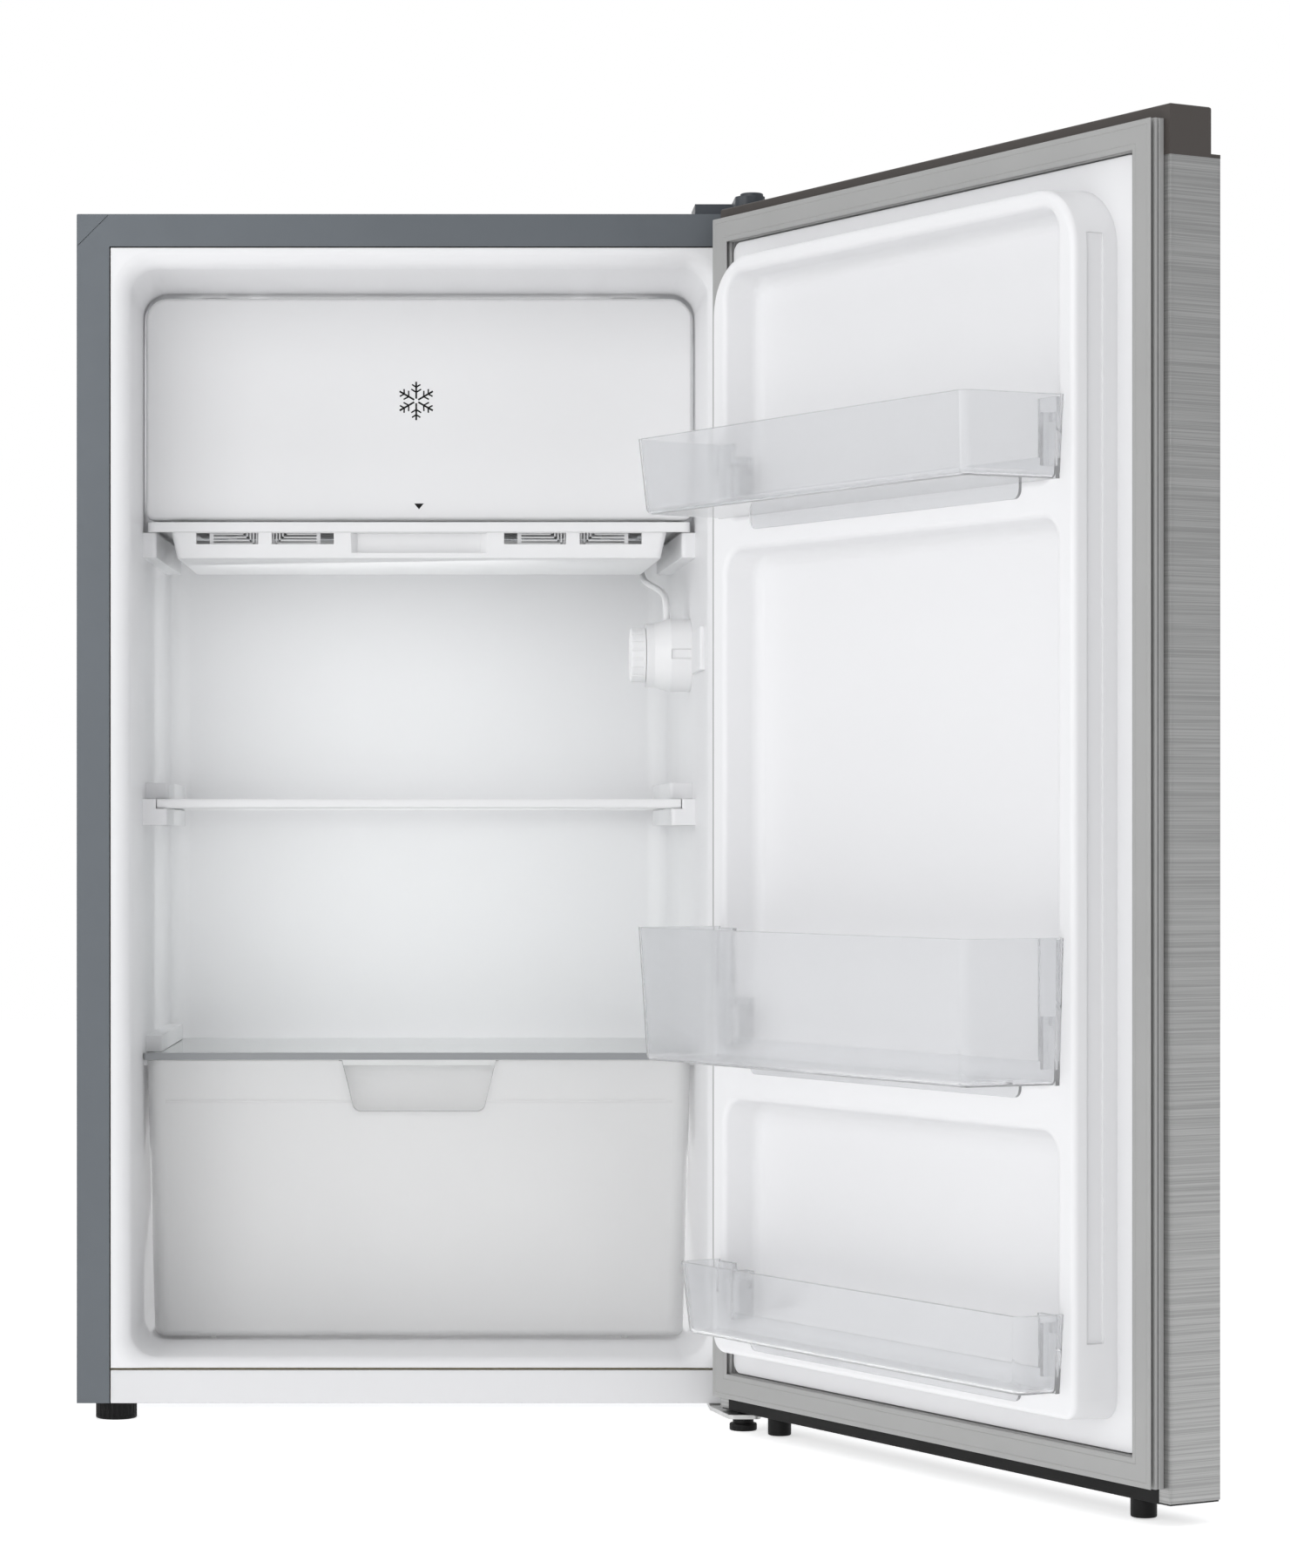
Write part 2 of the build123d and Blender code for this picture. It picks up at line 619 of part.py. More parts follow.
# ---------------------------------------------------------------- cabinet
def cavity(grow):
    """The air inside the liner and in front of it, grown outwards by a wall."""
    tub = loft([
        upright(FRONT, CAVITY_HALF_FRONT + grow, CAVITY_FLOOR - grow,
                CAVITY_TOP_FRONT + grow, CAVITY_CORNER + grow, CAVITY_CORNER + grow),
        upright(CAVITY_BACK + grow, CAVITY_HALF_BACK + grow, CAVITY_FLOOR - grow,
                CAVITY_TOP_BACK + grow, CAVITY_CORNER + grow, CAVITY_CORNER + grow),
    ])
    rear = tub.faces().sort_by(Axis.Y)[-1]
    tub = fillet(rear.edges(), CAVITY_BACK_RADIUS + grow)
    step = block(-HALF, HALF, STEP_Y + grow, BACK, 0, STEP_TOP - grow)
    nose = step.edges().filter_by(Axis.X).sort_by(lambda e: e.center().Y - e.center().Z)[0]
    tub -= fillet(nose, STEP_EDGE - grow)
    air = tub + block(-HALF, HALF, FRONT - CABINET_DEPTH / 4, LINER_FACE + grow, 0, CABINET_TOP)
    return fillet(edges_at_y(air, LINER_FACE + grow, HALF - 1), CAVITY_LIP - grow)


def build_cabinet():
    sheet = WRAPPER_SHEET
    inner_half = HALF - sheet
    wrapper = block(-HALF, HALF, FRONT, BACK, BOTTOM, CABINET_TOP)
    wrapper = fillet(wrapper.edges().filter_by(Axis.Y).sort_by(Axis.Z)[-2:], sheet)
    wrapper -= block(-inner_half, inner_half, FRONT + sheet, BACK + 1,
                     BOTTOM - 1, CABINET_TOP - sheet)
    wrapper -= block(-FLANGE_HALF, FLANGE_HALF, FRONT - 1, FRONT + 2 * sheet, BOTTOM - 1, FLANGE_Z)
    lip_back = FRONT + FLANGE_LIP
    lip = block(-FLANGE_HALF - sheet, FLANGE_HALF + sheet, FRONT, lip_back,
                BOTTOM, FLANGE_Z + sheet)
    lip -= block(-FLANGE_HALF, FLANGE_HALF, FRONT - 1, lip_back + 1, BOTTOM - 1, FLANGE_Z)
    wrapper += lip
    seam_length = 2 * FLANGE_TOP
    seam = Box(seam_length, sheet, MITRE_GAP)
    for side in (-1, 1):
        middle_x = side * (HALF - FLANGE_SIDE / 2)
        turn = Rot(0, side * 45, 0)
        cut = Pos(middle_x, FRONT, CABINET_TOP - FLANGE_TOP / 2) * turn * seam
        face = block(-inner_half, inner_half, FRONT - 1, FRONT + sheet, BOTTOM, CABINET_TOP - sheet)
        wrapper -= cut & face
    parts["cabinet_wrapper"] = wrapper

    air = cavity(0)
    air_outer = cavity(LINER_SHEET)
    liner = air_outer - air
    liner &= block(-LINER_HALF, LINER_HALF, LINER_FACE, BACK, LINER_FLANGE_LOW, LINER_TOP)
    skin_deep = cavity(LINER_SHEET / 2)
    for rib in liner_ribs():
        liner += (rib & skin_deep)
    parts["inner_liner"] = liner

    foam_half = inner_half - SEAT
    foam_back = BACK - REAR_SHEET - SEAT
    foam_front = lip_back + SEAT
    foam_top = CABINET_TOP - sheet - SEAT
    foam = block(-foam_half, foam_half, foam_front, foam_back, DECK_LOW + DECK_SHEET, foam_top)
    foam += block(-LINER_HALF, LINER_HALF, LINER_FACE + LINER_SHEET, foam_front + 1,
                  LINER_FLANGE_LOW, LINER_TOP)
    foam -= air_outer
    foam -= block(-HALF, HALF, MACHINE_Y - DECK_SHEET, BACK, 0, MACHINE_TOP + DECK_SHEET)
    parts["cabinet_insulation"] = foam

    parts["rear_panel"] = block(-foam_half, foam_half, BACK - REAR_SHEET, BACK,
                                MACHINE_TOP + DECK_SHEET, foam_top)
    wall_y = MACHINE_Y - DECK_SHEET
    roof = MACHINE_TOP + DECK_SHEET
    deck = block(-foam_half, foam_half, FRONT + CROSSBAR_DEPTH / 4, MACHINE_Y,
                 DECK_LOW, DECK_LOW + DECK_SHEET)
    deck += block(-foam_half, foam_half, wall_y, MACHINE_Y, DECK_LOW, roof)
    deck += block(-foam_half, foam_half, wall_y, BACK, MACHINE_TOP, roof)
    parts["bottom_panel"] = deck

    bar_half = LINER_HALF
    face = FRONT + CROSSBAR_RECESS
    floor_top = DECK_LOW - SEAT
    bar = block(-bar_half, bar_half, face, face + CROSSBAR_SHEET, BOTTOM, CROSSBAR_TOP)
    bar += block(-bar_half, bar_half, face, lip_back + 1, BOTTOM, floor_top)
    bar += block(-foam_half, foam_half, lip_back + SEAT, FRONT + CROSSBAR_DEPTH, BOTTOM, floor_top)
    bar += block(-bar_half, bar_half, face, lip_back, CROSSBAR_TOP - CROSSBAR_SHEET, CROSSBAR_TOP)
    bar -= rod(-FOOT_X, FRONT + FOOT_SETBACK, 0, CROSSBAR_TOP, STUD_R + RUN)
    for y in LOWER_SCREWS_Y:
        bar -= rod(LOWER_SCREW_X, y, 0, CROSSBAR_TOP, SCREW_R + SEAT)
    parts["lower_front_crossbar"] = bar


# ---------------------------------------------------------------- ribs moulded in the liner
def side_rib(depth0, depth1, half0, half1, z0, z1, radius):
    """A rib on the right side wall, from one depth to another, rounded in front."""
    y0 = FRONT + depth0
    y1 = FRONT + depth1
    points = [(half0, y0), (HALF, y0), (HALF, y1), (half1, y1)]
    face = level(z0, points, radius, lambda v: v.X < HALF - 1)
    return extrude(face, amount=z1 - z0)


def liner_ribs():
    rail = side_rib(RAIL_START, RAIL_END, RAIL_HALF_FRONT, RAIL_HALF_BACK,
                    RAIL_LOW, TRAY_RIM_LOW - FIT, RAIL_EDGE)
    shelf_low = SHELF_TOP - SHELF_TRIM_HEIGHT - FIT
    shelf_start = SHELF_SETBACK - SHELF_GUIDE_AHEAD
    shelf_end = SHELF_SETBACK + SHELF_LENGTH
    inner = SHELF_RAIL_INNER
    shelf_ledge = side_rib(shelf_start, shelf_end, inner, inner,
                           shelf_low - SHELF_RAIL_HEIGHT, shelf_low, RAIL_EDGE)
    beside = SHELF_HALF + 2 * FIT
    shelf_guide = side_rib(shelf_start, shelf_end, beside, beside,
                           shelf_low - SHELF_RAIL_HEIGHT, SHELF_TOP, RAIL_EDGE - 1)
    shelf_keep = side_rib(SHELF_SETBACK + SHELF_KEEP_START, shelf_end, inner, inner,
                          SHELF_TOP + FIT, SHELF_TOP + SHELF_RAIL_HEIGHT, RAIL_EDGE)
    ledge_half = cavity_half(CRISPER_SETBACK) - COVER_RIB_REACH
    cover_ledge = side_rib(CRISPER_SETBACK + COVER_RIB_START, STEP_Y - FRONT,
                           ledge_half, ledge_half - COVER_RIB_TAPER,
                           DRAWER_SIDE_HIGH + 2 * FIT, STEP_TOP, COVER_RIB_EDGE)
    keep_start = CRISPER_SETBACK + COVER_KEEP_START
    keep_end = CAVITY_DEPTH - COVER_KEEP_END
    cover_keep = side_rib(keep_start, keep_end, cavity_half(keep_start) - COVER_KEEP_REACH,
                          cavity_half(keep_end) - COVER_KEEP_REACH, CRISPER_COVER_TOP + FIT,
                          CRISPER_COVER_TOP + SHELF_RAIL_HEIGHT, RAIL_EDGE)
    ribs = []
    for rib in (rail, shelf_ledge, shelf_guide, shelf_keep, cover_ledge, cover_keep):
        ribs.append(rib)
        ribs.append(mirror(rib, Plane.YZ))
    pad_half = cavity_half(THERMOSTAT_SETBACK / 2) - PAD_RISE
    ribs.append(side_rib(PAD_START, PAD_END, pad_half, pad_half, THERMOSTAT_HEIGHT - PAD_HALF,
                         THERMOSTAT_HEIGHT + PAD_HALF, RAIL_EDGE - 1))
    return ribs


# ---------------------------------------------------------------- freezer zone
def build_flap():
    wall = FLAP_WALL
    flap = extrude(upright(FLAP_Y, FLAP_HALF, FLAP_LOW, FLAP_HIGH, FLAP_CORNER_LOW, FLAP_CORNER_HIGH),
                   amount=-FLAP_DEPTH)
    front_face = flap.faces().sort_by(Axis.Y)[0]
    flap = fillet(front_face.edges(), FLAP_EDGE)
    hollow = upright(FLAP_Y + wall, FLAP_HALF - wall, FLAP_LOW + wall, FLAP_HIGH - wall,
                     FLAP_CORNER_LOW - wall, FLAP_CORNER_HIGH - wall)
    flap -= extrude(hollow, amount=-FLAP_DEPTH)
    half = FLAP_LUG_HALF
    lug_r = FLAP_PIN_R + FLAP_LUG_WALL
    room = half + FLAP_CUTOUT
    for side in (-1, 1):
        x = side * (FLAP_PIN_X - 2 * half - FIT)
        lug = rod_x(x - half, x + half, FLAP_AXIS_Y, FLAP_AXIS_Z, lug_r)
        lug += block(x - half, x + half, FLAP_Y + 1, FLAP_AXIS_Y, FLAP_AXIS_Z - lug_r, FLAP_HIGH - 1)
        flap += lug
        flap -= rod_x(x - room, x + room, FLAP_AXIS_Y, FLAP_AXIS_Z, FLAP_PIN_R + RUN)
        arm_x = side * FLAP_PIN_X
        flap -= block(arm_x - room, arm_x + room, FLAP_Y + wall, FLAP_Y + FLAP_DEPTH + 1,
                      FLAP_AXIS_Z, FLAP_HIGH + 1)
    for x in (-FLAP_RIB_X, 0.0, FLAP_RIB_X):
        flap += block(x - FLAP_RIB / 2, x + FLAP_RIB / 2, FLAP_Y + 1, FLAP_Y + FLAP_DEPTH - FLAP_EDGE,
                      FLAP_LOW + 1, FLAP_AXIS_Z - FLAP_AXIS_DOWN)
    parts["freezer_flap"] = flap


def build_flap_brackets():
    air = cavity(0)
    half = FLAP_LUG_HALF
    low = FLAP_AXIS_Z - FLAP_PIN_R
    start = FLAP_AXIS_Y + FLAP_AXIS_DOWN + 2
    start_depth = start - FRONT
    brackets = []
    for side in (-1, 1):
        x = side * FLAP_PIN_X
        x0 = x - half
        x1 = x + half
        arm = rod_x(x0, x1, FLAP_AXIS_Y, FLAP_AXIS_Z, FLAP_PIN_R)
        arm += block(x0, x1, FLAP_AXIS_Y, start + FLAP_ARM, low, low + 2 * FLAP_PIN_R)
        arm += block(x0, x1, start, start + FLAP_ARM, low, CABINET_TOP)
        arm += block(x - 3 * half, x + 3 * half, start, start + FLAP_ARM_FOOT,
                     cavity_top(start_depth + FLAP_ARM_FOOT) - half, CABINET_TOP)
        pin_end = x - side * (4 * half + FIT)
        arm += rod_x(x, pin_end, FLAP_AXIS_Y, FLAP_AXIS_Z, FLAP_PIN_R)
        brackets.append(arm & air)
    parts["flap_hinge_brackets"] = joined(brackets)


def build_evaporator():
    y0 = FRONT + EVAPORATOR_START
    y1 = FRONT + EVAPORATOR_END
    sheet = EVAPORATOR_SHEET
    bend = EVAPORATOR_BEND
    box = extrude(upright(y0, EVAPORATOR_HALF, EVAPORATOR_LOW, EVAPORATOR_HIGH, bend, bend),
                  amount=y0 - y1)
    hollow = upright(y0 - 1, EVAPORATOR_HALF - sheet, EVAPORATOR_LOW + sheet, EVAPORATOR_HIGH - sheet,
                     bend - sheet, bend - sheet)
    box -= extrude(hollow, amount=y0 - y1 - 2)

    def channel_area(inset, z0, z1):
        side = EVAPORATOR_HALF - CHANNEL_SIDE - inset
        return block(-side, side, y0 + inset, y1 - inset, z0, z1)

    inset = CHANNEL_MARGIN
    while inset + CHANNEL_WIDTH < (y1 - y0) / 2:
        loop = channel_area(inset, EVAPORATOR_LOW - CHANNEL_RISE, EVAPORATOR_LOW + sheet / 2)
        loop -= channel_area(inset + CHANNEL_WIDTH, EVAPORATOR_LOW - 2 * CHANNEL_RISE,
                             EVAPORATOR_LOW + sheet)
        box += loop
        inset += CHANNEL_PITCH
    parts["evaporator_plate"] = box

    air = cavity(0)
    hanger_x = EVAPORATOR_HALF - HANGER_INSET
    hangers = []
    for x in (-hanger_x, hanger_x):
        for y in (y0 + HANGER_IN_FRONT, y1 - HANGER_IN_BACK):
            hangers.append(rod(x, y, EVAPORATOR_HIGH, CABINET_TOP, HANGER_R) & air)
    parts["evaporator_hangers"] = joined(hangers)


# ---------------------------------------------------------------- drip tray
def build_drip_tray():
    y0 = FRONT + TRAY_SETBACK
    y1 = y0 + TRAY_LENGTH
    wall = TRAY_WALL

    def outline(z, bevel, lean, shrink):
        half0 = TRAY_HALF_FRONT - shrink - bevel
        half1 = TRAY_HALF_BACK - shrink - bevel
        front = y0 + shrink + lean
        points = [(-half0, front), (half0, front), (half1, y1 - shrink), (-half1, y1 - shrink)]
        return level(z, points, TRAY_CORNER)

    def tray_body(shrink, z0, z1):
        return loft([outline(z0, TRAY_BEVEL, TRAY_LEAN, shrink), outline(z1, 0, 0, shrink)])

    def pull_form(grow, z0, z1):
        near = PULL_HALF + grow
        far = PULL_HALF - PULL_SLOPE + grow
        depth = y0 + PULL_DEPTH + grow
        points = [(-near, y0 - wall), (near, y0 - wall), (far, depth), (-far, depth)]
        return extrude(level(z0, points), amount=z1 - z0)

    def rim_outline(z, shrink):
        half0 = cavity_half(TRAY_SETBACK) - TRAY_RIM_GAP - shrink
        half1 = cavity_half(TRAY_SETBACK + TRAY_LENGTH) - TRAY_RIM_GAP - shrink
        front = y0 - TRAY_RIM_OVERHANG + shrink
        rear = y1 + TRAY_RIM_OVERHANG - shrink
        points = [(-half0, front), (half0, front), (half1, rear), (-half1, rear)]
        return level(z, points, TRAY_RIM_CORNER - shrink)

    tray = tray_body(0, TRAY_LOW, TRAY_RIM_HIGH)
    hollow = tray_body(wall, TRAY_LOW + wall, TRAY_RIM_HIGH + 1)
    hollow -= pull_form(wall, TRAY_LOW + wall, TRAY_RIM_LOW + wall)
    rim = extrude(rim_outline(TRAY_RIM_LOW, 0), amount=TRAY_RIM_HEIGHT)
    rim -= extrude(rim_outline(TRAY_RIM_LOW - 1, wall), amount=TRAY_RIM_HEIGHT - wall + 1)
    tray += rim
    tray -= hollow
    tray -= pull_form(0, TRAY_LOW + PULL_RISE, TRAY_RIM_LOW - PULL_TOP_GAP)
    for side in (-1, 1):
        for i in (0, 1):
            x = side * (VENT_OUTER - i * VENT_PITCH)
            tray -= block(x - VENT_WIDTH / 2, x + VENT_WIDTH / 2, y0 - PULL_DEPTH, y0 + PULL_DEPTH,
                          VENT_MIDDLE - VENT_HEIGHT / 2, VENT_MIDDLE + VENT_HEIGHT / 2)
    parts["drip_tray"] = tray


# ---------------------------------------------------------------- shelf and crisper
def build_shelf():
    y0 = FRONT + SHELF_SETBACK
    y1 = y0 + SHELF_LENGTH
    trim0 = y0 + SHELF_TRIM_DEPTH
    trim1 = y1 - SHELF_TRIM_DEPTH
    glass0 = trim0 - SHELF_GRIP
    glass1 = trim1 + SHELF_GRIP
    low = SHELF_TOP - SHELF_TRIM_HEIGHT
    glass_low = low + (SHELF_TRIM_HEIGHT - SHELF_GLASS) / 2
    glass_high = glass_low + SHELF_GLASS
    parts["shelf_glass"] = block(-SHELF_HALF + 1, SHELF_HALF - 1, glass0, glass1, glass_low, glass_high)
    slot = block(-HALF, HALF, glass0 - SEAT, glass1 + SEAT, glass_low - SEAT, glass_high + SEAT)
    front = block(-SHELF_HALF, SHELF_HALF, y0, trim0, low, SHELF_TOP)
    front = fillet(front.edges().filter_by(Axis.X).sort_by(Axis.Y)[:2], SHELF_TRIM_EDGE)
    parts["shelf_front_trim"] = front - slot
    rear = block(-SHELF_HALF, SHELF_HALF, trim1, y1, low, SHELF_TOP)
    rear = fillet(rear.edges().filter_by(Axis.X).sort_by(Axis.Y)[-2:], SHELF_TRIM_EDGE)
    parts["shelf_rear_trim"] = rear - slot


def build_crisper_cover():
    y0 = FRONT + CRISPER_SETBACK
    y1 = CAVITY_BACK - CAVITY_BACK_RADIUS
    trim_y = y0 + CRISPER_TRIM_DEPTH
    lip = CRISPER_TRIM_LIP

    def plan(rear, z, corner):
        half0 = cavity_half(CRISPER_SETBACK) - CRISPER_COVER_GAP
        half1 = cavity_half(rear - FRONT) - CRISPER_COVER_GAP
        return level(z, [(-half0, y0), (half0, y0), (half1, rear), (-half1, rear)], corner)

    glass = extrude(plan(y1, COVER_LOW, CRISPER_CORNER), amount=CRISPER_GLASS)
    glass &= block(-HALF, HALF, y0 + CRISPER_TRIM_SHIFT, BACK, 0, CABINET_TOP)
    strip = extrude(plan(trim_y, COVER_LOW - lip + FIT, CRISPER_CORNER / 2),
                    amount=CRISPER_GLASS + 2 * lip - FIT)
    tongue_low = COVER_LOW + CRISPER_TRIM_BITE
    tongue_high = CRISPER_COVER_TOP - FIT
    slot = block(-HALF, HALF, y0 + CRISPER_TRIM_SHIFT - SEAT, BACK, tongue_low - SEAT, tongue_high + SEAT)
    glass -= block(-HALF, HALF, y0, trim_y + SEAT, 0, tongue_low)
    glass -= block(-HALF, HALF, y0, trim_y + SEAT, tongue_high, CABINET_TOP)
    parts["crisper_cover_glass"] = glass
    parts["crisper_cover_trim"] = strip - slot


def build_crisper_drawer():
    y0 = FRONT + CRISPER_SETBACK
    y1 = y0 + DRAWER_LENGTH
    wall = DRAWER_WALL
    span = DRAWER_HIGH - DRAWER_LOW

    def outline_at(z, shrink):
        share = (z - DRAWER_LOW) / span
        half = DRAWER_HALF_LOW + share * DRAWER_SIDE_DRAFT - shrink
        front = y0 + DRAWER_DRAFT * (1 - share) + shrink
        rear = y1 - DRAWER_DRAFT * (1 - share) - shrink
        rear_half = half - DRAWER_TAPER_BACK
        points = [(-half, front), (half, front), (rear_half, rear), (-rear_half, rear)]
        return level(z, points, DRAWER_CORNER - shrink)

    def tub(shrink, z0, z1, edge):
        form = loft([outline_at(z0, shrink), outline_at(z1, shrink)])
        return fillet(form.faces().sort_by(Axis.Z)[0].edges(), edge)

    def handle(grow):
        plane = Plane((0, y0 - HANDLE_AHEAD, DRAWER_HIGH), x_dir=(1, 0, 0), z_dir=(0, -1, 0))
        slope = (HANDLE_HALF_TOP - HANDLE_HALF_LOW) / HANDLE_HEIGHT
        top = HANDLE_HALF_TOP + grow + slope * HANDLE_OVER
        low = HANDLE_HALF_LOW + grow
        bottom = -HANDLE_HEIGHT - grow
        points = [(-top, HANDLE_OVER), (top, HANDLE_OVER), (low, bottom), (-low, bottom)]
        face = make_face(Polyline(*points, close=True))
        face = fillet(face.vertices().filter_by(lambda v: v.Y < 0), HANDLE_CORNER + grow)
        return extrude(plane * face, amount=-(HANDLE_DEPTH + HANDLE_AHEAD + grow))

    outer = tub(0, DRAWER_LOW, DRAWER_HIGH, DRAWER_FLOOR_EDGE)
    inner = tub(wall, DRAWER_LOW + wall, DRAWER_HIGH + 1, DRAWER_FLOOR_EDGE - wall)
    drawer = (outer - handle(0)) - (inner - handle(wall))
    drawer -= block(-HALF, HALF, y0 + DRAWER_FRONT_DEPTH, BACK, DRAWER_SIDE_HIGH, CABINET_TOP)
    bead_z = DRAWER_HIGH - BEAD_DROP
    bead_y = y0 + DRAWER_DRAFT * BEAD_DROP / span
    bead_half = DRAWER_HALF_LOW - BEAD_INSET
    bead = block(-bead_half, bead_half, bead_y - BEAD_RISE, bead_y + 1,
                 bead_z - BEAD_WIDTH / 2, bead_z + BEAD_WIDTH / 2)
    drawer += bead - handle(1)
    runner_x = DRAWER_HALF_LOW - RUNNER_INSET
    for x in (-runner_x, runner_x):
        drawer += block(x - RUNNER_WIDTH / 2, x + RUNNER_WIDTH / 2, y0 + RUNNER_END, y1 - RUNNER_END,
                        CAVITY_FLOOR + FIT, DRAWER_LOW + 1)
    parts["crisper_drawer"] = drawer


# ---------------------------------------------------------------- thermostat
def build_thermostat():
    y = FRONT + THERMOSTAT_SETBACK
    z = THERMOSTAT_HEIGHT
    wall = HOUSING_WALL
    x0 = KNOB_X + KNOB_LENGTH + FIT
    x1 = x0 + HOUSING_NECK
    x2 = x1 + HOUSING_FLARE

    def housing_form(start, shrink):
        neck_r = HOUSING_R - shrink
        flare_r = HOUSING_FLARE_R - shrink
        form = rod_x(start, x1, y, z, neck_r)
        form += cone_x(x1, x2, y, z, neck_r, flare_r)
        return form + rod_x(x2, HALF, y, z, flare_r)

    air = cavity(0)
    housing = (housing_form(x0, 0) - housing_form(x0 + wall, wall)) & air
    housing -= rod_x(x0 - 1, x0 + wall + 1, y, z, SPINDLE_R + 1)
    housing -= block(x2, x2 + HOUSING_SLOT_LENGTH, y - 2 * HOUSING_R, y - HOUSING_FLARE_R + HOUSING_SLOT_DEPTH,
                     z - HOUSING_SLOT_HALF, z + HOUSING_SLOT_HALF)

    switch_x = x0 + wall + SEAT
    inner_r = HOUSING_R - wall - SEAT
    half_y = inner_r * SWITCH_WIDTH
    half_z = inner_r * SWITCH_HEIGHT
    switch = block(switch_x, cavity_half(THERMOSTAT_SETBACK), y - half_y, y + half_y,
                   z - half_z, z + half_z)
    switch &= air
    face_x = KNOB_X + KNOB_FACE
    switch += rod_x(face_x, switch_x + 1, y, z, SPINDLE_R)
    parts["thermostat_switch"] = switch

    knob_end = KNOB_X + KNOB_LENGTH
    knob = rod_x(KNOB_X, knob_end, y, z, KNOB_R)
    knob = fillet(knob.edges().sort_by(Axis.X)[0], KNOB_EDGE)
    knob -= rod_x(face_x - FIT, knob_end + 1, y, z, SPINDLE_R + RUN)
    knob -= block(KNOB_X - 1, KNOB_X + POINTER_DEPTH, y - POINTER_WIDTH / 2, y + POINTER_WIDTH / 2,
                  z + KNOB_R * POINTER_START, z + KNOB_R * POINTER_END)
    groove = rod_x(KNOB_X - 1, knob_end - KNOB_GROOVE_END, 0, KNOB_R + KNOB_GROOVE_OUT, KNOB_GROOVE_R)
    for i in range(KNOB_GROOVES):
        knob -= Pos(0, y, z) * Rot(i * 360 / KNOB_GROOVES, 0, 0) * groove
    parts["thermostat_knob"] = knob

    # the capillary climbs behind the drip tray to the evaporator
    x = CAVITY_HALF_FRONT - CAPILLARY_INSET
    far_x = CAVITY_HALF_FRONT - CAPILLARY_END_INSET
    start_y = y + 2
    end_y = FRONT + TRAY_SETBACK + TRAY_LENGTH + CAPILLARY_BEHIND_TRAY
    span = end_y - start_y
    top = z + HOUSING_FLARE_R
    climb = TRAY_LOW - top
    route = [(x, start_y, z + half_z + SEAT), (x, start_y, top + climb * CAPILLARY_CLIMB[0])]
    for along, up in zip(CAPILLARY_ALONG, CAPILLARY_CLIMB[1:]):
        route.append((x + (far_x - x) * along, start_y + span * along, top + climb * up))
    route.append((far_x, end_y, EVAPORATOR_LOW - SEAT))
    runs = [(Vector(*b) - Vector(*a)) for a, b in zip(route, route[1:])]
    radii = []
    for a, b in zip(runs, runs[1:]):
        shorter = min(a.length, b.length)
        radii.append(CAPILLARY_BEND * shorter / math.tan(math.radians(a.get_angle(b)) / 2))
    parts["thermostat_capillary"] = tube(route, CAPILLARY_R, radii)
    housing -= rod(x, start_y, z + inner_r, top + wall, CAPILLARY_R + 4 * FIT)
    parts["thermostat_housing"] = housing


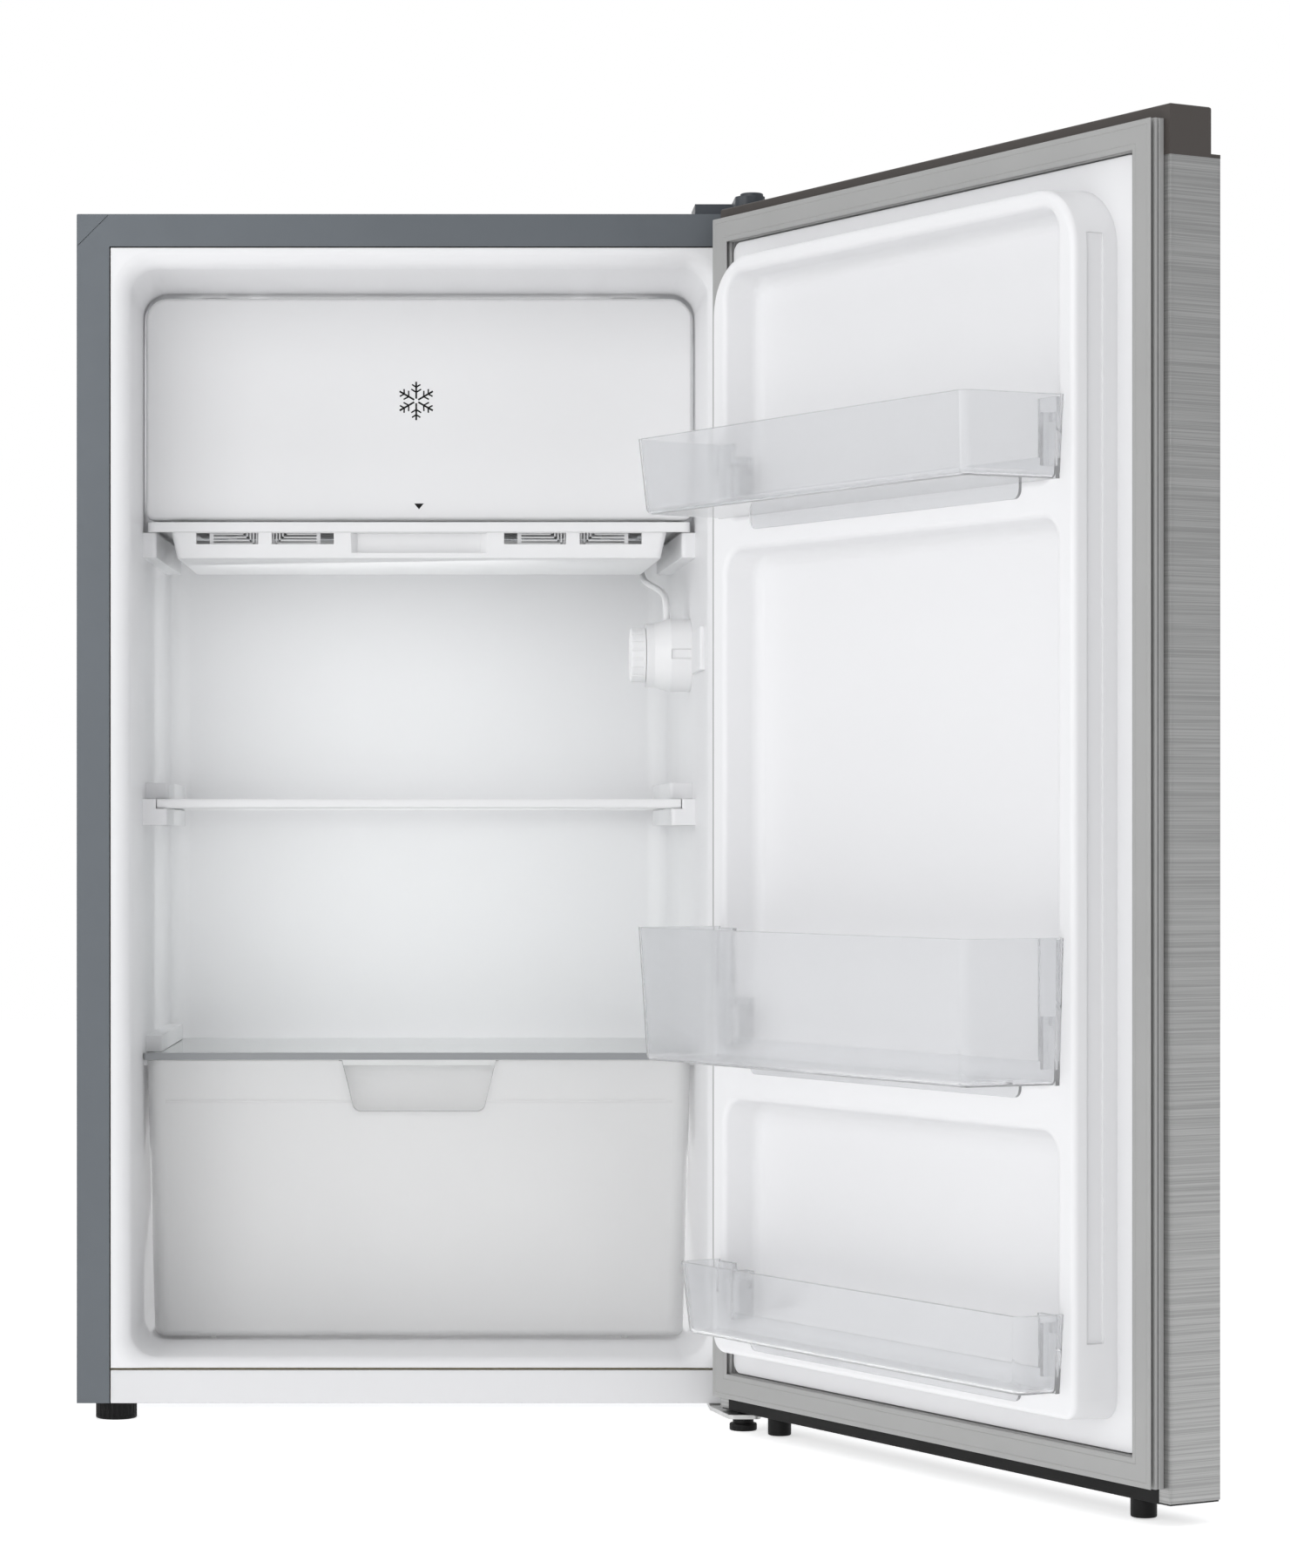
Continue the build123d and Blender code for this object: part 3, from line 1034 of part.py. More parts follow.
# ---------------------------------------------------------------- machine recess
def build_compressor():
    cx = COMPRESSOR_X
    cy = COMPRESSOR_Y
    shell = rod(cx, cy, MOUNT_LOW, SHELL_TOP, COMPRESSOR_R)
    shell = fillet(shell.edges().sort_by(Axis.Z)[-1], COMPRESSOR_DOME)
    seam_z = MOUNT_LOW + COMPRESSOR_HEIGHT * SEAM_SHARE
    shell += rod(cx, cy, seam_z, seam_z + SEAM_HEIGHT, COMPRESSOR_R + SEAM_OUT)
    half_x = MOUNT_SPAN_X + MOUNT_EDGE_X
    half_y = MOUNT_SPAN_Y + MOUNT_EDGE_Y
    mount_top = MOUNT_LOW + FOOT_PLATE
    feet = block(cx - half_x, cx + half_x, cy - half_y, cy + half_y, MOUNT_LOW, mount_top)
    shell += fillet(feet.edges().filter_by(Axis.Z), MOUNT_EDGE_Y)
    shell += rod_x(SUCTION_X, cx, STUBS_Y, SUCTION_Z, SUCTION_R)
    shell += rod_x(cx, DISCHARGE_X, STUBS_Y, DISCHARGE_Z, CONDENSER_R)
    half = HALF - WRAPPER_SHEET - SEAT
    plate = block(-half, half, MACHINE_Y - BASE_OVERLAP, BACK, BOTTOM, DECK_LOW)
    head_low = mount_top + GROMMET_TOP
    grommets = []
    bolts = []
    for x in (cx - MOUNT_SPAN_X, cx + MOUNT_SPAN_X):
        for y in (cy - MOUNT_SPAN_Y, cy + MOUNT_SPAN_Y):
            shell -= rod(x, y, MOUNT_LOW - 1, mount_top + 1, GROMMET_NECK_R + SEAT)
            grommet = rod(x, y, DECK_LOW, MOUNT_LOW, GROMMET_R)
            grommet += rod(x, y, MOUNT_LOW, mount_top, GROMMET_NECK_R)
            grommet += rod(x, y, mount_top, head_low, GROMMET_R)
            grommets.append(grommet - rod(x, y, DECK_LOW - 1, head_low + 1, BOLT_R + SEAT))
            bolt = rod(x, y, BOTTOM, head_low, BOLT_R)
            bolts.append(bolt + rod(x, y, head_low, head_low + BOLT_HEAD, BOLT_R * 2))
            plate -= rod(x, y, BOTTOM - 1, DECK_LOW + 1, BOLT_R + SEAT)
    for x in (-REAR_FOOT_X, REAR_FOOT_X):
        plate -= rod(x, BACK - REAR_FOOT_INSET, BOTTOM - 1, DECK_LOW + 1, STUD_R + SEAT)
    parts["compressor"] = shell
    parts["compressor_grommets"] = joined(grommets)
    parts["compressor_bolts"] = joined(bolts)
    parts["base_plate"] = plate

    side = cx + COMPRESSOR_R
    relay_z = MOUNT_LOW + RELAY_RISE
    relay = block(side - RELAY_OVERLAP, side + RELAY_OUT, cy - RELAY_FRONT, cy + RELAY_BACK,
                  relay_z, relay_z + RELAY_SIZE)
    relay = fillet(relay.edges().filter_by(Axis.X), RELAY_EDGE)
    relay -= rod(cx, cy, MOUNT_LOW, SHELL_TOP, COMPRESSOR_R + SEAM_OUT + FIT)
    inlet_x = side + INLET_OUT
    inlet_z = relay_z + INLET_RISE
    relay_back = cy + RELAY_BACK
    parts["compressor_relay"] = relay - rod_y(inlet_x, cy, relay_back + 1, inlet_z, INLET_R)
    inlet = rod_y(inlet_x, cy, relay_back, inlet_z, INLET_R - SEAT)
    inlet += rod_y(inlet_x, relay_back, relay_back + INLET_LIP, inlet_z, INLET_R + 2)
    inlet -= rod_y(inlet_x, cy - 1, relay_back + INLET_LIP + 1, inlet_z, INLET_BORE)
    parts["cord_inlet"] = inlet


def build_drain():
    cx = COMPRESSOR_X
    cy = COMPRESSOR_Y
    wall = PAN_WALL
    pan_top = SHELL_TOP + PAN_HEIGHT
    pan = block(cx - PAN_X, cx + PAN_X, cy - PAN_Y, cy + PAN_Y, SHELL_TOP, pan_top)
    pan = fillet(pan.edges().filter_by(Axis.Z), PAN_CORNER)
    half_x = PAN_X - wall
    half_y = PAN_Y - wall
    inside = block(cx - half_x, cx + half_x, cy - half_y, cy + half_y, SHELL_TOP + wall, pan_top + 1)
    parts["water_pan"] = pan - fillet(inside.edges().filter_by(Axis.Z), PAN_CORNER - wall)

    y = cy + DRAIN_Y
    low = pan_top - DRAIN_DIP
    top = STEP_TOP - LINER_SHEET
    bore = DRAIN_R - DRAIN_WALL
    parts["drain_tube"] = rod(cx, y, low, top, DRAIN_R) - rod(cx, y, low - 1, top + 1, bore)
    parts["inner_liner"] -= rod(cx, y, top - 1, STEP_TOP + 1, bore)
    parts["cabinet_insulation"] -= rod(cx, y, low, top + 1, DRAIN_R)
    parts["bottom_panel"] -= rod(cx, y, low, top, DRAIN_R + SEAT)


def build_refrigerant_tubes():
    side_x = HALF - WRAPPER_SHEET - CONDENSER_R - SEAT
    low = MACHINE_TOP - CONDENSER_DOWN
    turn_low = MACHINE_TOP + CONDENSER_UP
    turn_high = CABINET_TOP - CONDENSER_UNDER_TOP
    reach = BACK - CONDENSER_INSET_Y
    pitch = 2 * reach / (CONDENSER_LEGS - 1)
    serpentine = [(side_x, reach, low)]
    for i in range(CONDENSER_LEGS):
        y = reach - i * pitch
        start, end = (turn_low, turn_high) if i % 2 == 0 else (turn_high, turn_low)
        if i > 0:
            serpentine.append((side_x, y, start))
        serpentine.append((side_x, y, end))
    serpentine.append((side_x, -reach - CONDENSER_END, turn_low))
    bends = [CONDENSER_BEND] * (len(serpentine) - 3) + [CONDENSER_END_BEND]
    right = tube(serpentine, CONDENSER_R, bends)
    groove = tube(serpentine, CONDENSER_R + SEAT, bends)
    parts["condenser_tube"] = right + mirror(right, Plane.YZ)
    parts["cabinet_insulation"] -= groove
    parts["cabinet_insulation"] -= mirror(groove, Plane.YZ)
    for x in (-side_x, side_x):
        parts["bottom_panel"] -= rod(x, reach, MACHINE_TOP - 1, MACHINE_TOP + 2, CONDENSER_R + FIT)

    discharge = [
        (DISCHARGE_X, STUBS_Y, DISCHARGE_Z),
        (DISCHARGE_X + 30, STUBS_Y, DISCHARGE_Z),
        (DISCHARGE_X + 62, STUBS_Y + 8, DISCHARGE_Z + 30),
        (side_x - 20, reach, low - 34),
        (side_x, reach, low - 20),
        (side_x, reach, low),
    ]
    parts["discharge_tube"] = tube(discharge, CONDENSER_R, [12.0, 14.0, 10.0, 6.0])
    drier_x = -side_x + DRIER_INSET_X
    drier_y = BACK - DRIER_INSET_Y
    drier_top = low - DRIER_UNDER_TUBE
    drier = rod(drier_x, drier_y, drier_top - DRIER_LENGTH, drier_top, DRIER_R)
    drier = fillet(drier.edges(), DRIER_R * 0.6)
    outlet = [
        (drier_x, drier_y, drier_top),
        (drier_x, drier_y - 3, drier_top + 16),
        (drier_x - 22, reach + 6, low + 6),
        (-side_x, reach, low - 12),
        (-side_x, reach, low),
    ]
    parts["filter_drier"] = drier + tube(outlet, CONDENSER_R, [8.0, 8.0, 4.0])

    rear_y = (CAVITY_BACK + LINER_SHEET + BACK - REAR_SHEET) / 2
    riser_x = SUCTION_X - 26
    suction = [
        (SUCTION_X, STUBS_Y, SUCTION_Z),
        (SUCTION_X - 24, STUBS_Y, SUCTION_Z),
        (SUCTION_X - 28, STUBS_Y + 14, SUCTION_Z + 30),
        (riser_x, rear_y, SUCTION_Z + 60),
        (riser_x, rear_y, SUCTION_PORT_Z),
        (riser_x, FRONT + EVAPORATOR_END, SUCTION_PORT_Z),
    ]
    bends = [10.0, 14.0, 20.0, 11.0]
    parts["suction_tube"] = tube(suction, SUCTION_R, bends)
    hole = tube(suction, SUCTION_R + 1, bends)
    for name in ("cabinet_insulation", "bottom_panel", "inner_liner"):
        parts[name] -= hole


# ---------------------------------------------------------------- door
def pocket_spans():
    """Floor and ceiling of each of the three hollows behind the bins."""
    upper, middle, lower = [BINS[name][0] for name in BINS]
    return [(lower, middle - BAR_HEIGHTS[1]), (middle, upper - BAR_HEIGHTS[0]), (upper, POCKET_CEILING)]


def pocket(z0, z1, t):
    share = (PLATEAU_Y + 1 - POCKET_Y) / (PLATEAU_Y - POCKET_Y)
    floor_half = POCKET_HALF_FLOOR + t
    face_half = POCKET_HALF_FLOOR + share * (POCKET_HALF - POCKET_HALF_FLOOR) + t
    draft = POCKET_DRAFT
    hollow = loft([
        upright(POCKET_Y - t, floor_half, z0 + draft - t, z1 - draft + t, POCKET_CORNER, POCKET_CORNER),
        upright(PLATEAU_Y + 1, face_half, z0 - t, z1 + t, POCKET_CORNER, POCKET_CORNER),
    ])
    floor = hollow.faces().sort_by(Axis.Y)[0]
    return fillet(floor.edges(), POCKET_FLOOR_RADIUS)


def liner_form(t):
    """The solid that the door liner covers, its surface moved inwards by t."""
    inset = HALF - SKIN_RETURN - SEAT
    root = DOOR_THICKNESS / 2
    form = block(-inset, inset, DOOR_FRONT + 2 * SKIN_SHEET, DOOR_BACK - t,
                 LINER_LOW_EDGE, LINER_HIGH_EDGE)
    terrace = extrude(upright(TERRACE_Y - t, TERRACE_HALF - t, TERRACE_LOW + t, TERRACE_HIGH - t,
                              TERRACE_RADIUS, TERRACE_RADIUS), amount=-root)
    terrace = Pos(0, -root, 0) * terrace
    draft = PLATEAU_DRAFT * (1 + root / (PLATEAU_Y - TERRACE_Y))
    dyke = loft([
        upright(TERRACE_Y - root, PLATEAU_HALF + draft - t, PLATEAU_LOW - draft + t,
                PLATEAU_HIGH + draft - t, PLATEAU_CORNER_LOW + draft, PLATEAU_CORNER_HIGH + draft),
        upright(PLATEAU_Y - t, PLATEAU_HALF - t, PLATEAU_LOW + t, PLATEAU_HIGH - t,
                PLATEAU_CORNER_LOW, PLATEAU_CORNER_HIGH),
    ])
    for z0, z1 in pocket_spans():
        dyke -= pocket(z0, z1, t)
    rims = edges_at_y(dyke, PLATEAU_Y - t, HALF)
    dyke = fillet(rims, PLATEAU_EDGE - t)
    groove_y = (TERRACE_Y + PLATEAU_Y) / 2
    reach = GROOVE_WIDTH / 2 + t
    dyke -= block(-HALF, -PLATEAU_HALF + GROOVE_DEPTH + t, groove_y - reach, groove_y + reach,
                  GROOVE_LOW - t, GROOVE_HIGH + t)
    return form + terrace + dyke


def bin_lug(name):
    """The lug on the pocket's right wall that a bin hooks over."""
    z0 = BINS[name][0] + LUG_RISE
    y1 = PLATEAU_Y - LUG_START
    return block(POCKET_HALF - LUG_REACH * 2, HALF, y1 - LUG_WIDTH, y1, z0, z0 + LUG_HEIGHT)


def rounded_front(shape, radius):
    """The shape with its two upright front edges rounded."""
    return fillet(shape.edges().filter_by(Axis.Z).sort_by(Axis.Y)[:2], radius)


def build_door_panel():
    sheet = SKIN_SHEET
    opening = HALF - SKIN_RETURN
    skin = rounded_front(block(-HALF, HALF, DOOR_FRONT, DOOR_BACK, SKIN_BOTTOM, SKIN_TOP), SKIN_RADIUS)
    inner = block(-HALF + sheet, HALF - sheet, DOOR_FRONT + sheet, DOOR_BACK - sheet, 0, DOOR_TOP)
    skin -= rounded_front(inner, SKIN_RADIUS - sheet)
    skin -= block(-opening, opening, DOOR_BACK - 2 * sheet, DOOR_BACK + 1, 0, DOOR_TOP)
    parts["door_skin"] = skin

    core = liner_form(DOOR_LINER_SHEET)
    liner = liner_form(0) - core
    reach = DOOR_BACK + DOOR_THICKNESS + GASKET_THICKNESS
    liner &= block(-opening, opening, DOOR_BACK - DOOR_LINER_SHEET, reach, 0, DOOR_TOP)
    for name, span in zip(reversed(list(BINS)), pocket_spans()):
        lug = bin_lug(name) & pocket(span[0], span[1], 0)
        lug &= block(-HALF, HALF, DOOR_FRONT, PLATEAU_Y - LUG_START, 0, DOOR_TOP)
        liner += lug
        liner += mirror(lug, Plane.YZ)
    parts["door_liner"] = liner

    wall = CAP_WALL
    half = HALF - sheet
    bush_low = DOOR_TOP - BUSH_LENGTH
    hollow = block(-HALF + wall, HALF - wall, CAP_FRONT + wall, DOOR_BACK - wall,
                   SKIN_TOP - 1, DOOR_TOP - wall)
    cap = rounded_front(block(-HALF, HALF, CAP_FRONT, DOOR_BACK, SKIN_TOP, DOOR_TOP), SKIN_RADIUS)
    cap = fillet(cap.edges().filter_by(Axis.X).sort_by(Axis.Z)[-2:], CAP_EDGE)
    cap += block(-half, half, DOOR_FRONT + sheet, CAP_FRONT + wall, SKIN_TOP, SKIN_TOP + wall)
    cap -= hollow
    cap -= block(-opening, opening, DOOR_BACK - 2 * wall, DOOR_BACK + 1, SKIN_TOP - 1,
                 LINER_HIGH_EDGE + SEAT)
    cap += rod(HINGE_X, HINGE_Y, bush_low, DOOR_TOP - wall, BUSH_R + wall)
    cap -= rod(HINGE_X, HINGE_Y, bush_low - 1, DOOR_TOP + 1, BUSH_R + SEAT)
    parts["door_top_cap"] = cap

    gap = sheet + SEAT
    half = HALF - gap
    low_top = DOOR_BOTTOM + BUSH_LENGTH
    low_cap = block(-half, half, DOOR_FRONT + gap, DOOR_BACK - gap, DOOR_BOTTOM, BOTTOM_CAP_HIGH)
    low_cap = rounded_front(low_cap, SKIN_RADIUS - sheet)
    low_cap += block(-opening + SEAT, opening - SEAT, DOOR_BACK - 2 * wall, DOOR_BACK,
                     DOOR_BOTTOM, BOTTOM_CAP_HIGH)
    low_cap -= block(-HALF + 2 * wall, HALF - 2 * wall, DOOR_FRONT + 2 * wall, DOOR_BACK - wall,
                     DOOR_BOTTOM + wall, BOTTOM_CAP_HIGH + 1)
    low_cap += rod(HINGE_X, HINGE_Y, DOOR_BOTTOM, low_top, BUSH_R + wall)
    low_cap -= rod(HINGE_X, HINGE_Y, DOOR_BOTTOM - 1, low_top + 1, BUSH_R + SEAT)
    parts["door_bottom_cap"] = low_cap

    foam = block(-half, half, DOOR_FRONT + gap, DOOR_BACK - DOOR_LINER_SHEET, BOTTOM_CAP_HIGH, SKIN_TOP)
    foam = rounded_front(foam, SKIN_RADIUS - sheet) + hollow
    foam += core & block(-HALF, HALF, DOOR_FRONT + DOOR_THICKNESS / 2, reach,
                         BOTTOM_CAP_HIGH, LINER_HIGH_EDGE)
    foam -= rod(HINGE_X, HINGE_Y, bush_low - PIN_ROOM, DOOR_TOP, BUSH_R + wall)
    foam -= rod(HINGE_X, HINGE_Y, DOOR_BOTTOM, low_top + PIN_ROOM, BUSH_R + wall)
    parts["door_foam"] = foam - cap


def build_door_hardware():
    def bush(low, high, flange_low):
        shape = rod(HINGE_X, HINGE_Y, low, high, BUSH_R)
        shape += rod(HINGE_X, HINGE_Y, flange_low, flange_low + BUSH_FLANGE, BUSH_R + BUSH_FLANGE_REACH)
        return shape - rod(HINGE_X, HINGE_Y, low - 1, high + 1, HINGE_PIN_R + RUN)

    upper = bush(DOOR_TOP - BUSH_LENGTH, DOOR_TOP, DOOR_TOP)
    lower = bush(DOOR_BOTTOM, DOOR_BOTTOM + BUSH_LENGTH, DOOR_BOTTOM - BUSH_FLANGE)
    parts["hinge_bushes"] = upper + lower
    posts = []
    for x in (HINGE_X - POST_FROM_HINGE, -HALF + POST_FROM_FREE_EDGE):
        post = rod(x, HINGE_Y + POST_BEHIND_HINGE, POST_FLOOR_GAP, DOOR_BOTTOM, POST_R)
        posts.append(fillet(post.edges().sort_by(Axis.Z)[0], FOOT_EDGE))
    parts["door_posts"] = joined(posts)


def seal_ring(y0, y1, inset_out, width):
    outer_half = HALF - GASKET_INSET - inset_out
    low = GASKET_BOTTOM + inset_out
    high = GASKET_TOP - inset_out
    ring = block(-outer_half, outer_half, y0, y1, low, high)
    ring -= block(-outer_half + width, outer_half - width, y0 - 1, y1 + 1, low + width, high - width)
    return ring


def build_gasket():
    base = DOOR_BACK
    face = base + GASKET_THICKNESS
    edge = GASKET_EDGE
    steps = [0, *GASKET_STEPS, GASKET_THICKNESS - edge]
    insets = [0, GASKET_NECK, 0, GASKET_NECK, 0]
    seal = seal_ring(face - edge, face, edge, GASKET_WIDTH - 2 * edge)
    for low, high, inset in zip(steps, steps[1:], insets):
        seal += seal_ring(base + low, base + high, inset, GASKET_WIDTH - 2 * inset)
    magnet_out = (GASKET_WIDTH - MAGNET_WIDTH) / 2
    magnet_y1 = face - edge
    magnet_y0 = magnet_y1 - MAGNET_THICKNESS
    seal -= seal_ring(magnet_y0 - SEAT, magnet_y1 + SEAT, magnet_out - SEAT, MAGNET_WIDTH + 2 * SEAT)
    parts["door_gasket"] = seal
    parts["gasket_magnet"] = seal_ring(magnet_y0, magnet_y1, magnet_out, MAGNET_WIDTH)


# ---------------------------------------------------------------- door bins
def bin_tub(floor, top, front, half_front):
    rear = PLATEAU_Y + FIT
    wall = BIN_WALL

    def outline(z, shrink, lean):
        half0 = BIN_HALF_REAR - shrink - lean
        half1 = half_front - shrink - lean
        y1 = front - shrink - lean
        points = [(-half0, rear), (half0, rear), (half1, y1), (-half1, y1)]
        return level(z, points, BIN_PLAN_CORNER - shrink, lambda v: v.Y > rear + 1)

    outer = loft([outline(floor, 0, BIN_DRAFT), outline(top, 0, 0)])
    floor_edges = outer.faces().sort_by(Axis.Z)[0].edges()
    outer = fillet(floor_edges.filter_by(lambda e: e.center().Y > rear + 1), BIN_CORNER)
    inner = loft([outline(floor + wall, wall, BIN_DRAFT), outline(top + 1, wall, 0)])
    inner -= block(-HALF, HALF, rear - 1, rear + BIN_TAB, 0, floor + BIN_BACK_HEIGHT)
    edges = inner.edges().filter_by(lambda e: e.center().Z < floor + wall + 0.1)
    edges = edges.filter_by(lambda e: e.center().Y > rear + BIN_TAB + 1)
    return outer - fillet(edges, BIN_CORNER - wall)


def build_bins():
    rear = PLATEAU_Y + FIT
    ear_in = POCKET_HALF - LUG_REACH * 2 - FIT - BIN_TAB
    hook_out = POCKET_HALF - LUG_REACH
    hook_y1 = PLATEAU_Y - LUG_START
    hook_y0 = hook_y1 - LUG_WIDTH - FIT
    hook_back = hook_y0 - BIN_TAB
    for name, (floor, top, reach, half_front) in BINS.items():
        tub = bin_tub(floor, top, DOOR_BACK + reach, half_front)
        lug_top = floor + LUG_RISE + LUG_HEIGHT
        hook_top = lug_top + LUG_DROP
        ear = block(ear_in, BIN_HALF_REAR - BIN_DRAFT, rear, rear + BIN_TAB, floor, top - 1)
        ear += block(ear_in, ear_in + BIN_TAB, hook_back, rear + 1, floor + LUG_RISE, hook_top)
        ear += block(ear_in, hook_out, hook_back, hook_y1, lug_top + FIT, hook_top)
        ear += block(ear_in, hook_out - 2, hook_back, hook_y0, lug_top - LUG_DROP, hook_top)
        tub += ear
        tub += mirror(ear, Plane.YZ)
        tongue = block(-BIN_TONGUE_HALF, BIN_TONGUE_HALF, rear, rear + BIN_WALL,
                       floor - BIN_TONGUE, floor + 1)
        low_ends = tongue.edges().filter_by(Axis.Y).sort_by(Axis.Z)[:2]
        tub += fillet(low_ends, BIN_TONGUE_CORNER)
        parts[name] = tub


# ---------------------------------------------------------------- hinges and feet
def build_top_hinge():
    plate_top = CABINET_TOP + HINGE_PLATE
    head_top = plate_top + SCREW_HEAD
    front = FRONT + TOP_PLATE_FRONT
    back = FRONT + TOP_PLATE_Y
    r = HINGE_ARM_R
    plan = [(TOP_PLATE_X, front), (TOP_PLATE_X, back), (HINGE_X + TOP_PLATE_EAR, back),
            (HINGE_X + r, FRONT), (HINGE_X + r, HINGE_Y), (HINGE_X - r, HINGE_Y), (HINGE_X - r, front)]
    hinge = extrude(level(CABINET_TOP, plan, HINGE_CORNER), amount=HINGE_PLATE)
    hinge += rod(HINGE_X, HINGE_Y, CABINET_TOP, plate_top, r)
    hinge += rod(HINGE_X, HINGE_Y, DOOR_TOP - BUSH_LENGTH + PIN_ROOM, CABINET_TOP + 1, HINGE_PIN_R)
    screws = []
    for x, y in TOP_SCREWS:
        hinge -= rod(x, y, CABINET_TOP - 1, plate_top + 1, SCREW_R + FIT)
        head = rod(x, y, plate_top, head_top, SCREW_HEAD_R)
        screw = fillet(head.edges().sort_by(Axis.Z)[-1], SCREW_EDGE)
        screw += rod(x, y, CABINET_TOP - SCREW_LENGTH, plate_top, SCREW_R)
        for long, wide in ((CROSS_HALF, CROSS_WIDTH / 2), (CROSS_WIDTH / 2, CROSS_HALF)):
            screw -= block(x - long, x + long, y - wide, y + wide, head_top - CROSS_DEPTH, head_top + 1)
        screws.append(screw)
        hole = rod(x, y, CABINET_TOP - SCREW_LENGTH - 1, CABINET_TOP + 1, SCREW_R + SEAT)
        parts["cabinet_wrapper"] -= hole
        parts["cabinet_insulation"] -= hole
    parts["top_hinge"] = hinge
    parts["top_hinge_screws"] = joined(screws)

    wall = HINGE_COVER_WALL
    cover_top = head_top + FIT + wall

    def cover_solid(shrink, low, high, boss_high):
        out = wall + FIT - shrink
        left = TOP_PLATE_X - out
        right = HALF - shrink
        arm_left = HINGE_X - r - out
        arm_front = HINGE_Y - r - out
        outline = make_face(Polyline((left, front - out), (left, back + out), (right, back + out),
                                     (right, arm_front), (arm_left, arm_front), (arm_left, front - out),
                                     close=True))
        outline = fillet(outline.vertices().filter_by(lambda v: v.Y < HINGE_Y), r - shrink)
        shape = extrude(Pos(0, 0, low) * outline, amount=high - low)
        return shape + rod(HINGE_X + HINGE_BOSS_SHIFT, HINGE_Y, low, boss_high, HINGE_BOSS_R - shrink)

    cover = cover_solid(0, CABINET_TOP, cover_top, HINGE_BOSS_TOP)
    cover = fillet(cover.faces().sort_by(Axis.Z)[-1].edges(), SCREW_EDGE)
    cover -= cover_solid(wall, CABINET_TOP - 1, cover_top - wall, HINGE_BOSS_TOP - wall)
    parts["top_hinge_cover"] = cover


def build_lower_hinge():
    inner = HALF - LOWER_PLATE_INSET
    arm_front = HINGE_Y - LOWER_ARM_FRONT
    back = FRONT + LOWER_PLATE_Y
    neck = FRONT - LOWER_NECK
    plan = [(inner, back), (HALF - 3, back), (HALF - 3, neck), (HALF - 1.5, HINGE_Y), (HALF - 5, arm_front),
            (HALF - LOWER_ARM_INSET, arm_front), (inner, neck)]
    outline = level(ARM_LOW, plan, HINGE_CORNER + 1.5)
    hinge = extrude(outline, amount=HINGE_PLATE)
    seat = extrude(outline, amount=BOTTOM - ARM_LOW)
    hinge += seat & block(0, HALF, FRONT + 4, BACK, 0, BOTTOM)
    hinge += rod(HINGE_X, HINGE_Y, ARM_LOW, DOOR_BOTTOM + BUSH_LENGTH - PIN_ROOM, HINGE_PIN_R)
    x = LOWER_SCREW_X
    screws = []
    for y in LOWER_SCREWS_Y:
        hinge -= rod(x, y, 0, BOTTOM + 1, SCREW_R + FIT)
        head = rod(x, y, ARM_LOW - SCREW_HEAD, ARM_LOW, SCREW_HEAD_R)
        screw = fillet(head.edges().sort_by(Axis.Z)[0], SCREW_EDGE)
        screws.append(screw + rod(x, y, ARM_LOW, BOTTOM + LOWER_SCREW_LENGTH, SCREW_R))
        hole = rod(x, y, BOTTOM, BOTTOM + LOWER_SCREW_LENGTH + 1, SCREW_R + SEAT)
        parts["cabinet_insulation"] -= hole
        parts["bottom_panel"] -= hole
    foot_y = FRONT - SMALL_FOOT_AHEAD
    parts["lower_hinge"] = hinge - rod(SMALL_FOOT_X, foot_y, 0, BOTTOM, STUD_R + RUN)
    parts["lower_hinge_screws"] = joined(screws)

    foot = rod(SMALL_FOOT_X, foot_y, 0, SMALL_FOOT_FLANGE, SMALL_FOOT_R)
    foot = fillet(foot.edges(), FOOT_EDGE)
    foot += rod(SMALL_FOOT_X, foot_y, SMALL_FOOT_FLANGE - 1, ARM_LOW - FIT, SMALL_FOOT_STEM_R)
    foot += rod(SMALL_FOOT_X, foot_y, ARM_LOW - 1, ARM_TOP, STUD_R)
    parts["front_right_foot"] = foot


def build_feet():
    y = FRONT + FOOT_SETBACK
    foot = rod(-FOOT_X, y, 0, BOTTOM - FIT, FOOT_R)
    foot = fillet(foot.edges(), FOOT_EDGE)
    notch = rod(FOOT_R + FOOT_NOTCH_OUT, 0, FOOT_NOTCH_LOW, BOTTOM, FOOT_NOTCH_R)
    for i in range(FOOT_NOTCHES):
        foot -= Pos(-FOOT_X, y, 0) * Rot(0, 0, i * 360 / FOOT_NOTCHES) * notch
    stud_top = BOTTOM + STUD_LENGTH
    parts["front_left_foot"] = foot + rod(-FOOT_X, y, BOTTOM - 1, stud_top, STUD_R)
    hole = rod(-FOOT_X, y, BOTTOM, stud_top + 1, STUD_R + FIT)
    parts["cabinet_insulation"] -= hole
    parts["bottom_panel"] -= hole

    feet = []
    y = BACK - REAR_FOOT_INSET
    for x in (-REAR_FOOT_X, REAR_FOOT_X):
        foot = rod(x, y, 0, BOTTOM, REAR_FOOT_R)
        foot = fillet(foot.edges().sort_by(Axis.Z)[0], FOOT_EDGE)
        feet.append(foot + rod(x, y, BOTTOM, DECK_LOW + REAR_STUD, STUD_R))
    parts["rear_feet"] = joined(feet)


DOOR_NODES = ("door_skin", "door_liner", "door_foam", "door_top_cap", "door_bottom_cap", "hinge_bushes",
              "door_posts", "door_gasket", "gasket_magnet", *BINS)


